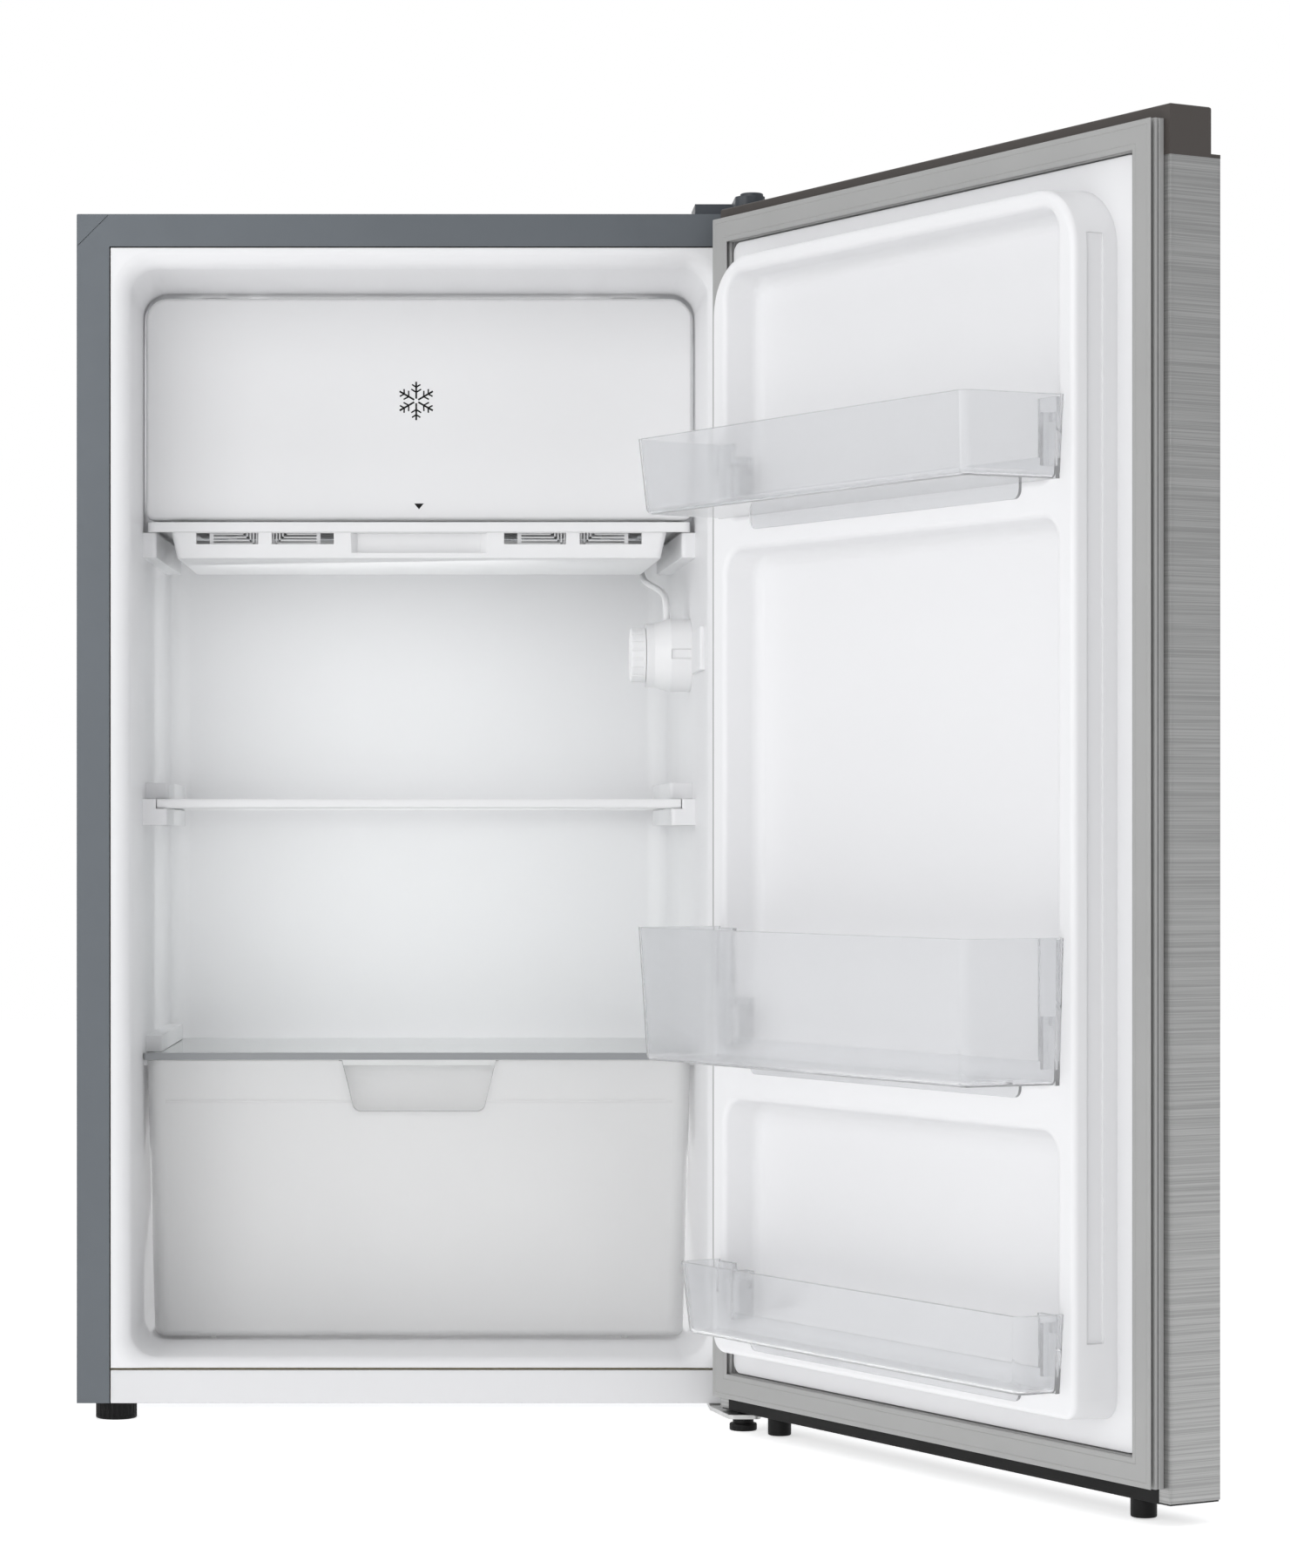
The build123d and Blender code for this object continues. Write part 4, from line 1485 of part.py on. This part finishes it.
def main():
    os.makedirs("parts", exist_ok=True)
    build_cabinet()
    build_flap()
    build_flap_brackets()
    build_evaporator()
    build_drip_tray()
    build_shelf()
    build_crisper_cover()
    build_crisper_drawer()
    build_thermostat()
    build_compressor()
    build_drain()
    build_refrigerant_tubes()
    build_door_panel()
    build_door_hardware()
    build_gasket()
    build_bins()
    build_top_hinge()
    build_lower_hinge()
    build_feet()
    for name, shape in parts.items():
        placed = DOOR_PLACE * shape if name in DOOR_NODES else shape
        export_step(placed, f"parts/{name}.step")


main()
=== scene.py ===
import json
import math

import bmesh
import bpy
from mathutils import Matrix, Vector


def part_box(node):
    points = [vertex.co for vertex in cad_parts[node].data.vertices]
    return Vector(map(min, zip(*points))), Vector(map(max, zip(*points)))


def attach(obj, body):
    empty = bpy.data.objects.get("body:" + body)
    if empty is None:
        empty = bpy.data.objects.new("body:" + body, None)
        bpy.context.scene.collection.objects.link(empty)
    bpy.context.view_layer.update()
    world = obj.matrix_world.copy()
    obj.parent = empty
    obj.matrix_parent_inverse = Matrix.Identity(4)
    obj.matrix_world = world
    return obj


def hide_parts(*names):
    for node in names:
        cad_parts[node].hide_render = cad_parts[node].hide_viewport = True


# Looks of the compact refrigerator: a material for every CAD node, the soft door seal, the printed marks
# on the flap, the ribs in the drip tray's slots, and the studio. Lengths are in metres, in the CAD part's
# frame.

MM = 0.001
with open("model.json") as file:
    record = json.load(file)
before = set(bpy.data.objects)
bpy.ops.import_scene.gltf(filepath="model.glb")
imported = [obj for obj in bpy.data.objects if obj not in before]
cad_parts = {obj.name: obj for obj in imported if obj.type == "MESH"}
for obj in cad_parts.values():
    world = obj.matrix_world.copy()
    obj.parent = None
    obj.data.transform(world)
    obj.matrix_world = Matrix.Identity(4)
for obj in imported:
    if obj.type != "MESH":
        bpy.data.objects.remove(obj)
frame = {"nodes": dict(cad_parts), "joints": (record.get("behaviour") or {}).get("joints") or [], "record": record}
nodes = frame["nodes"]
joints = {joint["name"]: joint for joint in frame["joints"]}
record_slots = {entry["node"]: entry["material_slot"] for entry in frame["record"]["subparts"]}
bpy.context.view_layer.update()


# ---------------------------------------------------------------- one material
def set_socket(shader, name, value):
    shader.inputs[name].default_value = value


class Surface:
    """A procedural material on one Principled shader, with soft edges and a fine grain."""

    def __init__(self, name, colour, roughness, metallic=0.0, edge=0.6 * MM, coat=0.0, ior=1.5,
                 specular=0.5):
        self.material = bpy.data.materials.new(name)
        self.material.use_nodes = True
        self.tree = self.material.node_tree
        self.shader = self.tree.nodes["Principled BSDF"]
        set_socket(self.shader, "Base Color", (*colour, 1.0))
        set_socket(self.shader, "Roughness", roughness)
        set_socket(self.shader, "Metallic", metallic)
        set_socket(self.shader, "IOR", ior)
        set_socket(self.shader, "Specular IOR Level", specular)
        set_socket(self.shader, "Coat Weight", coat)
        set_socket(self.shader, "Coat Roughness", 0.2)
        self.colour = colour
        self.roughness = roughness
        self.place = self.add("ShaderNodeTexCoord").outputs["Object"]
        self.normal = None
        if edge > 0:
            bevel = self.add("ShaderNodeBevel", samples=4)
            bevel.inputs["Radius"].default_value = edge
            self.normal = bevel.outputs["Normal"]
            self.link(self.normal, self.shader.inputs["Normal"])

    def add(self, kind, **settings):
        node = self.tree.nodes.new(kind)
        for key, value in settings.items():
            setattr(node, key, value)
        return node

    def link(self, source, target):
        self.tree.links.new(source, target)

    def noise(self, scale=1.0, stretch=(1, 1, 1), detail=3.0, rough=0.5):
        mapping = self.add("ShaderNodeMapping")
        mapping.inputs["Scale"].default_value = stretch
        self.link(self.place, mapping.inputs["Vector"])
        noise = self.add("ShaderNodeTexNoise")
        noise.inputs["Scale"].default_value = scale
        noise.inputs["Detail"].default_value = detail
        noise.inputs["Roughness"].default_value = rough
        self.link(mapping.outputs["Vector"], noise.inputs["Vector"])
        return noise.outputs["Fac"]

    def spread(self, source, low, high, start=0.2, end=0.8):
        """Turns a signal that runs from start to end into one that runs from low to high."""
        remap = self.add("ShaderNodeMapRange")
        remap.inputs["From Min"].default_value = start
        remap.inputs["From Max"].default_value = end
        remap.inputs["To Min"].default_value = low
        remap.inputs["To Max"].default_value = high
        self.link(source, remap.inputs["Value"])
        return remap.outputs["Result"]

    def mottle(self, source, amount):
        """Lets the colour lighten and darken by a share of itself."""
        mix = self.add("ShaderNodeMix", data_type="RGBA")
        mix.inputs["A"].default_value = (*[c * (1 - amount) for c in self.colour], 1)
        mix.inputs["B"].default_value = (*[min(1.0, c * (1 + amount)) for c in self.colour], 1)
        self.link(self.spread(source, 0, 1), mix.inputs["Factor"])
        self.link(mix.outputs["Result"], self.shader.inputs["Base Color"])
        return self

    def gloss(self, source, amount):
        """Lets the roughness wander by an amount each way."""
        smoothest = 0.02
        value = self.spread(source, max(smoothest, self.roughness - amount), self.roughness + amount)
        self.link(value, self.shader.inputs["Roughness"])
        return self

    def bump(self, source, strength, distance):
        """Adds relief on top of the softened edges."""
        bump = self.add("ShaderNodeBump")
        bump.inputs["Strength"].default_value = strength
        bump.inputs["Distance"].default_value = distance
        self.link(source, bump.inputs["Height"])
        if self.normal is not None:
            self.link(self.normal, bump.inputs["Normal"])
        self.normal = bump.outputs["Normal"]
        self.link(self.normal, self.shader.inputs["Normal"])
        return self


# ---------------------------------------------------------------- kinds of material
def painted_sheet(name, colour):
    paint = Surface(name, colour, roughness=0.42, metallic=0.75, coat=0.1)
    paint.mottle(paint.noise(14, detail=4), amount=0.03)
    paint.gloss(paint.noise(40), amount=0.06)
    return paint.bump(paint.noise(1400, detail=2), strength=0.12, distance=0.2 * MM)


def moulded(name, colour, roughness, grain=1800, strength=0.1, specular=0.5):
    plastic = Surface(name, colour, roughness, edge=0.8 * MM, specular=specular)
    plastic.mottle(plastic.noise(9, detail=3), amount=0.005)
    plastic.gloss(plastic.noise(26, detail=4), amount=0.05)
    return plastic.bump(plastic.noise(grain, detail=2), strength=strength, distance=0.1 * MM)


def brushed_steel(name, colour):
    """Fine level scratches: quick changes with height, slow ones along the sheet."""
    steel = Surface(name, colour, roughness=0.42, metallic=1.0, edge=3.5 * MM)
    fine = steel.noise(stretch=(9, 9, 2600), detail=2, rough=0.6)
    broad = steel.noise(stretch=(5, 5, 1150), detail=1)
    both = steel.add("ShaderNodeMath", operation="ADD")
    steel.link(fine, both.inputs[0])
    steel.link(broad, both.inputs[1])
    mean = steel.add("ShaderNodeMath", operation="MULTIPLY")
    mean.inputs[1].default_value = 0.5
    steel.link(both.outputs[0], mean.inputs[0])
    scratches = steel.spread(mean.outputs[0], 0, 1, start=0.36, end=0.64)
    steel.mottle(scratches, amount=0.15)
    steel.gloss(fine, amount=0.06)
    return steel.bump(fine, strength=0.18, distance=0.1 * MM)


def zinc(name):
    plated = Surface(name, (0.66, 0.66, 0.65), roughness=0.36, metallic=1.0, edge=0.4 * MM)
    plated.mottle(plated.noise(90, detail=5, rough=0.7), amount=0.12)
    plated.gloss(plated.noise(160), amount=0.12)
    return plated.bump(plated.noise(2500), strength=0.1, distance=0.1 * MM)


def galvanised(name):
    """A faint, fine spangle."""
    sheet = Surface(name, (0.60, 0.61, 0.63), roughness=0.45, metallic=1.0, edge=0.4 * MM)
    cells = sheet.add("ShaderNodeTexVoronoi", feature="F1")
    cells.inputs["Scale"].default_value = 140
    sheet.link(sheet.place, cells.inputs["Vector"])
    sheet.mottle(cells.outputs["Distance"], amount=0.05)
    sheet.gloss(sheet.noise(30), amount=0.1)
    return sheet


def copper(name):
    metal = Surface(name, (0.72, 0.36, 0.22), roughness=0.32, metallic=1.0, edge=0.3 * MM)
    metal.mottle(metal.noise(60, detail=6, rough=0.7), amount=0.22)
    metal.gloss(metal.noise(45), amount=0.14)
    return metal


def enamel(name):
    paint = Surface(name, (0.018, 0.018, 0.02), roughness=0.3, coat=0.6, edge=0.8 * MM)
    paint.gloss(paint.noise(35), amount=0.08)
    return paint.bump(paint.noise(420, detail=2), strength=0.12, distance=0.2 * MM)


def rolled_aluminium(name):
    metal = Surface(name, (0.74, 0.75, 0.76), roughness=0.42, metallic=1.0, edge=0.6 * MM)
    metal.mottle(metal.noise(stretch=(6, 300, 6), detail=4), amount=0.08)
    metal.gloss(metal.noise(50), amount=0.12)
    return metal


def soft_vinyl(name, colour):
    vinyl = Surface(name, colour, roughness=0.48, edge=0.4 * MM)
    vinyl.mottle(vinyl.noise(18, detail=3), amount=0.03)
    vinyl.gloss(vinyl.noise(60), amount=0.07)
    return vinyl.bump(vinyl.noise(900, detail=2), strength=0.08, distance=0.1 * MM)


def see_through(name, tint, roughness, weight):
    """Glass and clear or milky plastic: the weight is the share of the light that goes through."""
    clear = Surface(name, tint, roughness, edge=0.7 * MM, ior=1.45)
    set_socket(clear.shader, "Transmission Weight", weight)
    clear.mottle(clear.noise(8, detail=3), amount=0.01)
    return clear.gloss(clear.noise(30, detail=3), amount=roughness * 0.3)


def foam(name):
    core = Surface(name, (0.80, 0.72, 0.50), roughness=0.9, edge=0.0)
    core.mottle(core.noise(300, detail=3), amount=0.1)
    return core.bump(core.noise(900, detail=3), strength=0.5, distance=0.6 * MM)


# One surface for each material slot of the record. The large white faces have a coarse, weak grain.
surfaces = {
    "wrapper_sheet": painted_sheet("wrapper_sheet", (0.145, 0.160, 0.175)),
    "galvanised_sheet": galvanised("galvanised_sheet"),
    "crossbar_paint": moulded("crossbar_paint", (0.74, 0.74, 0.75), 0.35, grain=1200, strength=0.05),
    "liner_white": moulded("liner_white", (0.83, 0.83, 0.84), 0.34, grain=240, strength=0.02),
    "foam": foam("foam"),
    "copper": copper("copper"),
    "black_enamel": enamel("black_enamel"),
    "black_rubber": moulded("black_rubber", (0.022, 0.022, 0.022), 0.62, strength=0.3),
    "zinc_steel": zinc("zinc_steel"),
    "black_plastic": moulded("black_plastic", (0.004, 0.004, 0.004), 0.5, strength=0.3, specular=0.22),
    "grey_plastic": moulded("grey_plastic", (0.30, 0.31, 0.32), 0.4),
    "evaporator_aluminium": rolled_aluminium("evaporator_aluminium"),
    "white_plastic": moulded("white_plastic", (0.87, 0.87, 0.875), 0.32, grain=240, strength=0.02),
    "clear_glass": see_through("clear_glass", (0.93, 0.97, 0.96), 0.03, weight=0.95),
    "clear_plastic": see_through("clear_plastic", (0.885, 0.89, 0.9), 0.08, weight=0.9),
    "drawer_plastic": see_through("drawer_plastic", (0.89, 0.89, 0.89), 0.45, weight=0.5),
    "door_steel": brushed_steel("door_steel", (0.425, 0.425, 0.42)),
    "cap_brown": moulded("cap_brown", (0.062, 0.053, 0.048), 0.5, strength=0.25),
    "gasket_grey": soft_vinyl("gasket_grey", (0.37, 0.37, 0.365)),
    "magnet": moulded("magnet", (0.05, 0.045, 0.045), 0.7),
    "cover_grey": moulded("cover_grey", (0.045, 0.052, 0.062), 0.4, strength=0.3),
}
CLEAR_SLOTS = ("clear_plastic", "clear_glass", "drawer_plastic")


def dress_nodes():
    """Gives each CAD node its surface. Clear walls cast no shadow, so nothing behind them is left dark."""
    for name, node in nodes.items():
        slot = record_slots[name]
        node.data.materials.clear()
        node.data.materials.append(surfaces[slot].material)
        node.visible_shadow = slot not in CLEAR_SLOTS


# ---------------------------------------------------------------- meshes
UPRIGHT = Matrix.Rotation(math.radians(90), 4, "X")    # stands a flat drawing up, to face the front


def add_piece(name, bm, slot, body):
    """Makes a piece of a finished bmesh; it rides on the body."""
    mesh = bpy.data.meshes.new(name)
    bm.to_mesh(mesh)
    bm.free()
    piece = bpy.data.objects.new(name, mesh)
    bpy.context.scene.collection.objects.link(piece)
    mesh.materials.append(surfaces[slot].material)
    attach(piece, body)
    return piece


def plate(name, outlines, transform, thickness, slot, body):
    """Flat shapes with square edges: each outline is a list of points in its own plane."""
    bm = bmesh.new()
    for outline in outlines:
        face = bm.faces.new([bm.verts.new(Vector((x, y, 0))) for x, y in outline])
        raised = bmesh.ops.extrude_face_region(bm, geom=[face])
        moved = [v for v in raised["geom"] if isinstance(v, bmesh.types.BMVert)]
        bmesh.ops.translate(bm, verts=moved, vec=(0, 0, thickness))
    bmesh.ops.recalc_face_normals(bm, faces=bm.faces)
    bm.transform(transform)
    add_piece(name, bm, slot, body)


def rectangle(x, z, far_x, far_z):
    return [(x, z), (far_x, z), (far_x, far_z), (x, far_z)]


# ---------------------------------------------------------------- marks on the flap
def bar_outline(start, end, width):
    along = (Vector(end) - Vector(start)).normalized()
    across = Vector((-along.y, along.x)) * width / 2
    corners = [Vector(start) - across, Vector(end) - across, Vector(end) + across, Vector(start) + across]
    return [(c.x, c.y) for c in corners]


def snowflake_outlines(radius, width):
    """Six plain arms, each with two pairs of branches."""
    hub = 0.12                                 # where an arm starts, as a share of its length
    branches = ((0.45, 0.26), (0.72, 0.22))    # each pair's root and its reach sideways, as such shares
    lean = 0.62                                # how far a branch goes outwards, as a share of its reach
    thinner = 0.8                              # a branch's width, as a share of the arm's
    outlines = []
    for arm in range(6):
        turn = Matrix.Rotation(math.radians(60 * arm + 30), 2)
        tip = turn @ Vector((radius, 0))
        outlines.append(bar_outline(turn @ Vector((radius * hub, 0)), tip, width))
        for share, reach in branches:
            root = Vector((radius * share, 0))
            for side in (-1, 1):
                branch = root + Vector((reach * radius * lean, side * reach * radius))
                outlines.append(bar_outline(turn @ root, turn @ branch, width * thinner))
    return outlines


def flap_marks():
    """A snowflake in the middle of the flap and a small triangle over its lower edge, in black."""
    depth = 0.12 * MM
    flake_radius = 14 * MM
    flake_bar = 1.3 * MM
    flake_left = 2 * MM
    flake_rise = 6 * MM
    arrow_rise = 10 * MM
    arrow = [(-3.5 * MM, 2 * MM), (0, -2.2 * MM), (3.5 * MM, 2 * MM)]

    low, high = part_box("freezer_flap")
    face = Matrix.Translation((0, low.y, 0)) @ UPRIGHT
    middle_z = (low.z + high.z) / 2
    flake = snowflake_outlines(flake_radius, flake_bar)
    flake_place = face @ Matrix.Translation((-flake_left, middle_z + flake_rise, -depth / 2))
    plate("flap_snowflake_mark", flake, flake_place, depth, "black_plastic", "flap")
    arrow_place = face @ Matrix.Translation((0, low.z + arrow_rise, -depth / 2))
    plate("flap_open_arrow", [arrow], arrow_place, depth, "black_plastic", "flap")


# ---------------------------------------------------------------- ribs behind the tray's slots
def tray_ribs():
    """In each slot of the drip tray: level ribs that carry the melt water inwards, with upright ends."""
    # Each slot's middle in millimetres, and the way in which its ribs are long.
    slots = ((-139.7, 1), (-84.6, -1), (84.6, 1), (139.7, -1))
    setback = 9 * MM
    sill = 8 * MM
    long_side = 22 * MM
    short_side = 0.45    # as a share of the long one
    ribs = 5
    rib = 1.1 * MM
    step = 2.3 * MM
    end_wall = 3 * MM
    thickness = 1.2 * MM

    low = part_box("drip_tray")[0]
    base = low.z + sill
    top = base + ribs * step
    outlines = []
    for centre, way in slots:
        x = centre * MM
        start = x - way * long_side * short_side
        for i in range(ribs):
            z = base + i * step
            end = x + way * (long_side - i * step)
            outlines.append(rectangle(start, z, end, z + rib))
            outlines.append(rectangle(end - way * rib, z, end, top))
        outlines.append(rectangle(start, base, start - way * end_wall, top))
    face = Matrix.Translation((0, low.y + setback, 0)) @ UPRIGHT
    plate("drip_tray_ribs", outlines, face, thickness, "white_plastic", "tray")


# ---------------------------------------------------------------- door seal
def door_matrix():
    """Takes a point of the closed door to where it is at rest."""
    hinge = joints["door_hinge"]
    axis = Matrix.Translation(hinge["pos_m"])
    return axis @ Matrix.Rotation(math.radians(-hinge["range_deg"][0]), 4, "Z") @ axis.inverted()


def closed_box(name):
    """A door node's lowest and highest corner with the door closed."""
    shut = door_matrix().inverted()
    points = [shut @ vertex.co for vertex in nodes[name].data.vertices]
    return [Vector([pick(point[i] for point in points) for i in range(3)]) for pick in (min, max)]


def seal_section(width, depth):
    """The seal's section as (across, up) points, its foot first: bellows, magnet pocket and face."""
    drawn_depth = 10.6
    half = [(0.4, 0), (0, 0.4), (0, 3.9), (0.3, 4.2), (4.3, 4.3), (4.5, 4.55), (4.3, 4.8), (0.3, 4.9),
            (0, 5.2), (0, 6.8), (0.3, 7.1), (4.7, 7.2), (4.9, 7.75), (4.7, 8.3), (1.9, 8.4), (1.7, 8.6),
            (1.7, 9.7), (1.5, 9.9), (0.4, 9.9), (0.1, 10.1), (0.3, 10.4), (0.9, drawn_depth),
            (3.2, drawn_depth), (3.6, 10.35), (4.0, drawn_depth)]
    near = [(across * MM, up * depth / drawn_depth) for across, up in half]
    far = [(width - across, up) for across, up in reversed(near)]
    return near + far


def door_seal():
    """One section taken round the four sides of the door, mitred at the corners."""
    low, high = closed_box("door_gasket")
    ring_width = 18 * MM
    inset = 0.3 * MM
    section = seal_section(ring_width - 2 * inset, high.y - low.y)
    corners = [(low.x, low.z, 1, 1), (high.x, low.z, -1, 1),
               (high.x, high.z, -1, -1), (low.x, high.z, 1, -1)]
    bm = bmesh.new()
    rings = []
    for x, z, inward_x, inward_z in corners:
        ring = []
        for across, up in section:
            inward = across + inset
            ring.append(bm.verts.new((x + inward_x * inward, low.y + up, z + inward_z * inward)))
        rings.append(ring)
    count = len(section)
    for ring, following in zip(rings, rings[1:] + rings[:1]):
        for i in range(count):
            j = (i + 1) % count
            bm.faces.new([ring[i], ring[j], following[j], following[i]])
    bmesh.ops.recalc_face_normals(bm, faces=bm.faces)
    bm.transform(door_matrix())
    seal = add_piece("door_seal", bm, "gasket_grey", "door")
    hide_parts("door_gasket")


# ---------------------------------------------------------------- camera, world and floor
def make_camera():
    """One-point view straight along +Y, framed with a small shift."""
    sensor_height = 36    # this, the focal length and the shifts are in millimetres, as on a real camera
    focal_length = 94.372
    shift_right = 5.19
    shift_up = 1.146
    viewing_distance = 2887.8 * MM
    eye_height = 412.5 * MM
    flange_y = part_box("cabinet_wrapper")[0].y
    data = bpy.data.cameras.new("camera")
    data.sensor_fit = "VERTICAL"
    data.sensor_height = sensor_height
    data.lens = focal_length
    data.shift_x = shift_right / sensor_height
    data.shift_y = shift_up / sensor_height
    camera = bpy.data.objects.new("camera", data)
    camera.location = (0, flange_y - viewing_distance, eye_height)
    camera.rotation_euler = (math.radians(90), 0, 0)
    bpy.context.scene.collection.objects.link(camera)
    bpy.context.scene.camera = camera


def make_world():
    """Cool, dim light all round; to the camera the background is white."""
    world = bpy.data.worlds.new("studio")
    bpy.context.scene.world = world
    world.use_nodes = True
    tree = world.node_tree
    background = tree.nodes["Background"]
    background.inputs["Color"].default_value = (0.97, 0.98, 1.0, 1)
    background.inputs["Strength"].default_value = 0.5
    white = tree.nodes.new("ShaderNodeBackground")
    white.inputs["Color"].default_value = (1, 1, 1, 1)
    mix = tree.nodes.new("ShaderNodeMixShader")
    path = tree.nodes.new("ShaderNodeLightPath")
    tree.links.new(path.outputs["Is Camera Ray"], mix.inputs["Fac"])
    tree.links.new(background.outputs["Background"], mix.inputs[1])
    tree.links.new(white.outputs["Background"], mix.inputs[2])
    tree.links.new(mix.outputs["Shader"], tree.nodes["World Output"].inputs["Surface"])


def make_floor():
    """A pale floor that glows a little, and more to the camera, so that its far part is white too."""
    reach = 6    # from its middle to each side
    mesh = bpy.data.meshes.new("floor")
    bm = bmesh.new()
    bmesh.ops.create_grid(bm, x_segments=1, y_segments=1, size=reach)
    bm.to_mesh(mesh)
    bm.free()
    floor = bpy.data.objects.new("floor", mesh)
    bpy.context.scene.collection.objects.link(floor)
    pale = bpy.data.materials.new("pale_floor")
    pale.use_nodes = True
    tree = pale.node_tree
    shader = tree.nodes["Principled BSDF"]
    set_socket(shader, "Base Color", (0.9, 0.9, 0.9, 1))
    set_socket(shader, "Roughness", 0.8)
    set_socket(shader, "Emission Color", (1, 1, 1, 1))
    path = tree.nodes.new("ShaderNodeLightPath")
    glow = tree.nodes.new("ShaderNodeMapRange")
    glow.inputs["To Min"].default_value = 0.45
    glow.inputs["To Max"].default_value = 0.62
    tree.links.new(path.outputs["Is Camera Ray"], glow.inputs["Value"])
    tree.links.new(glow.outputs["Result"], shader.inputs["Emission Strength"])
    mesh.materials.append(pale)


# ---------------------------------------------------------------- lamps
def area_light(name, place, target, size, power):
    """A rectangular lamp: its two sides in metres and its power in watts."""
    data = bpy.data.lights.new(name, "AREA")
    data.shape = "RECTANGLE"
    data.size, data.size_y = size
    data.energy = power
    light = bpy.data.objects.new(name, data)
    light.location = place
    aim = Vector(target) - Vector(place)
    light.rotation_euler = aim.to_track_quat("-Z", "Y").to_euler()
    bpy.context.scene.collection.objects.link(light)
    return light


def make_studio():
    bpy.context.scene.view_settings.view_transform = "Standard"
    make_world()
    make_floor()
    area_light("front", place=(-1.6, -3.5, 1.6), target=(0, 0, 0.45), size=(2.4, 2.2), power=31)
    area_light("left", place=(-2.7, -1.2, 1.3), target=(0.1, 0, 0.5), size=(1.4, 2.0), power=12)
    area_light("right", place=(2.8, -1.6, 1.4), target=(0.3, -0.4, 0.5), size=(1.4, 2.2), power=2)
    area_light("top", place=(0, -0.9, 2.9), target=(0, -0.1, 0.4), size=(2.4, 1.8), power=17)
    area_light("back", place=(0.4, 2.6, 1.8), target=(0, 0, 0.5), size=(2.4, 1.8), power=12)


def lamp_in(name, centre, facing, size, power):
    """A weak, unseen lamp in the cabinet, which is too narrow for the studio's lamps to reach."""
    lamp = area_light(name, centre, centre + Vector(facing), size, power)
    lamp.visible_camera = False
    lamp.visible_glossy = False


GLOW = 2.6    # watts on a square metre, with which white looks about as bright as it does outside
UPWARD = (0, 0.02, 1)


def light_shelves():
    """Over and under the shelf, towards the back wall, and clear of the thermostat's knob."""
    shelf_low, shelf_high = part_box("shelf_glass")
    tray_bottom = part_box("drip_tray")[0].z
    cover_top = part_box("crisper_cover_glass")[1].z
    lamp_width = 250 * MM
    margin = 10 * MM
    left = 40 * MM
    setback = 40 * MM
    for name, low, high in (("above", shelf_high.z, tray_bottom), ("below", cover_top, shelf_low.z)):
        place = Vector((-left, shelf_low.y + setback, (low + high) / 2))
        lamp_in(f"lamp_{name}_shelf", place, (0.25, 1, 0), (lamp_width, high - low - margin), power=0.16)


def light_drawer():
    """Inside the drawer and in the gaps beside it."""
    inner_size = (300 * MM, 120 * MM)
    inset = 4 * MM
    depth_margin = 20 * MM
    height_margin = 10 * MM
    low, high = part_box("crisper_drawer")
    middle = (low + high) / 2
    lamp_in("lamp_in_drawer", middle, (0, 1, 0), inner_size, power=0.1)
    depth = high.y - low.y - depth_margin
    height = high.z - low.z - height_margin
    for side in (-1, 1):
        place = Vector((side * (high.x - inset), middle.y, middle.z))
        power = GLOW / 2 * depth * height
        lamp_in(f"lamp_beside_drawer_{side + 1}", place, (side, 0, 0), (depth, height), power)


def light_freezer():
    """Behind the flap, towards the ceiling and the sides, and over the tray's grooves."""
    width = 340 * MM
    depth = 90 * MM
    dimmer = 0.8
    setback = 48 * MM
    inset = 6 * MM
    height_margin = 20 * MM
    tray_size = (300 * MM, 150 * MM)
    flap_low, flap_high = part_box("freezer_flap")
    tray_low, tray_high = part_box("drip_tray")
    behind = Vector((0, flap_high.y + setback, flap_high.z - inset))
    lamp_in("lamp_behind_flap", behind, UPWARD, (width, depth), dimmer * GLOW * width * depth)
    height = flap_high.z - flap_low.z - height_margin
    for side in (-1, 1):
        place = Vector((side * (flap_high.x - inset), behind.y, (flap_low.z + flap_high.z) / 2))
        power = GLOW * depth * height
        lamp_in(f"lamp_beside_flap_{side + 1}", place, (side, 0, 0), (depth, height), power)
    in_tray = Vector((0, (tray_low.y + tray_high.y) / 2, tray_low.z + inset))
    lamp_in("lamp_in_tray", in_tray, UPWARD, tray_size, power=0.11)


make_camera()
make_studio()
light_shelves()
light_drawer()
light_freezer()
dress_nodes()
flap_marks()
tray_ribs()
door_seal()
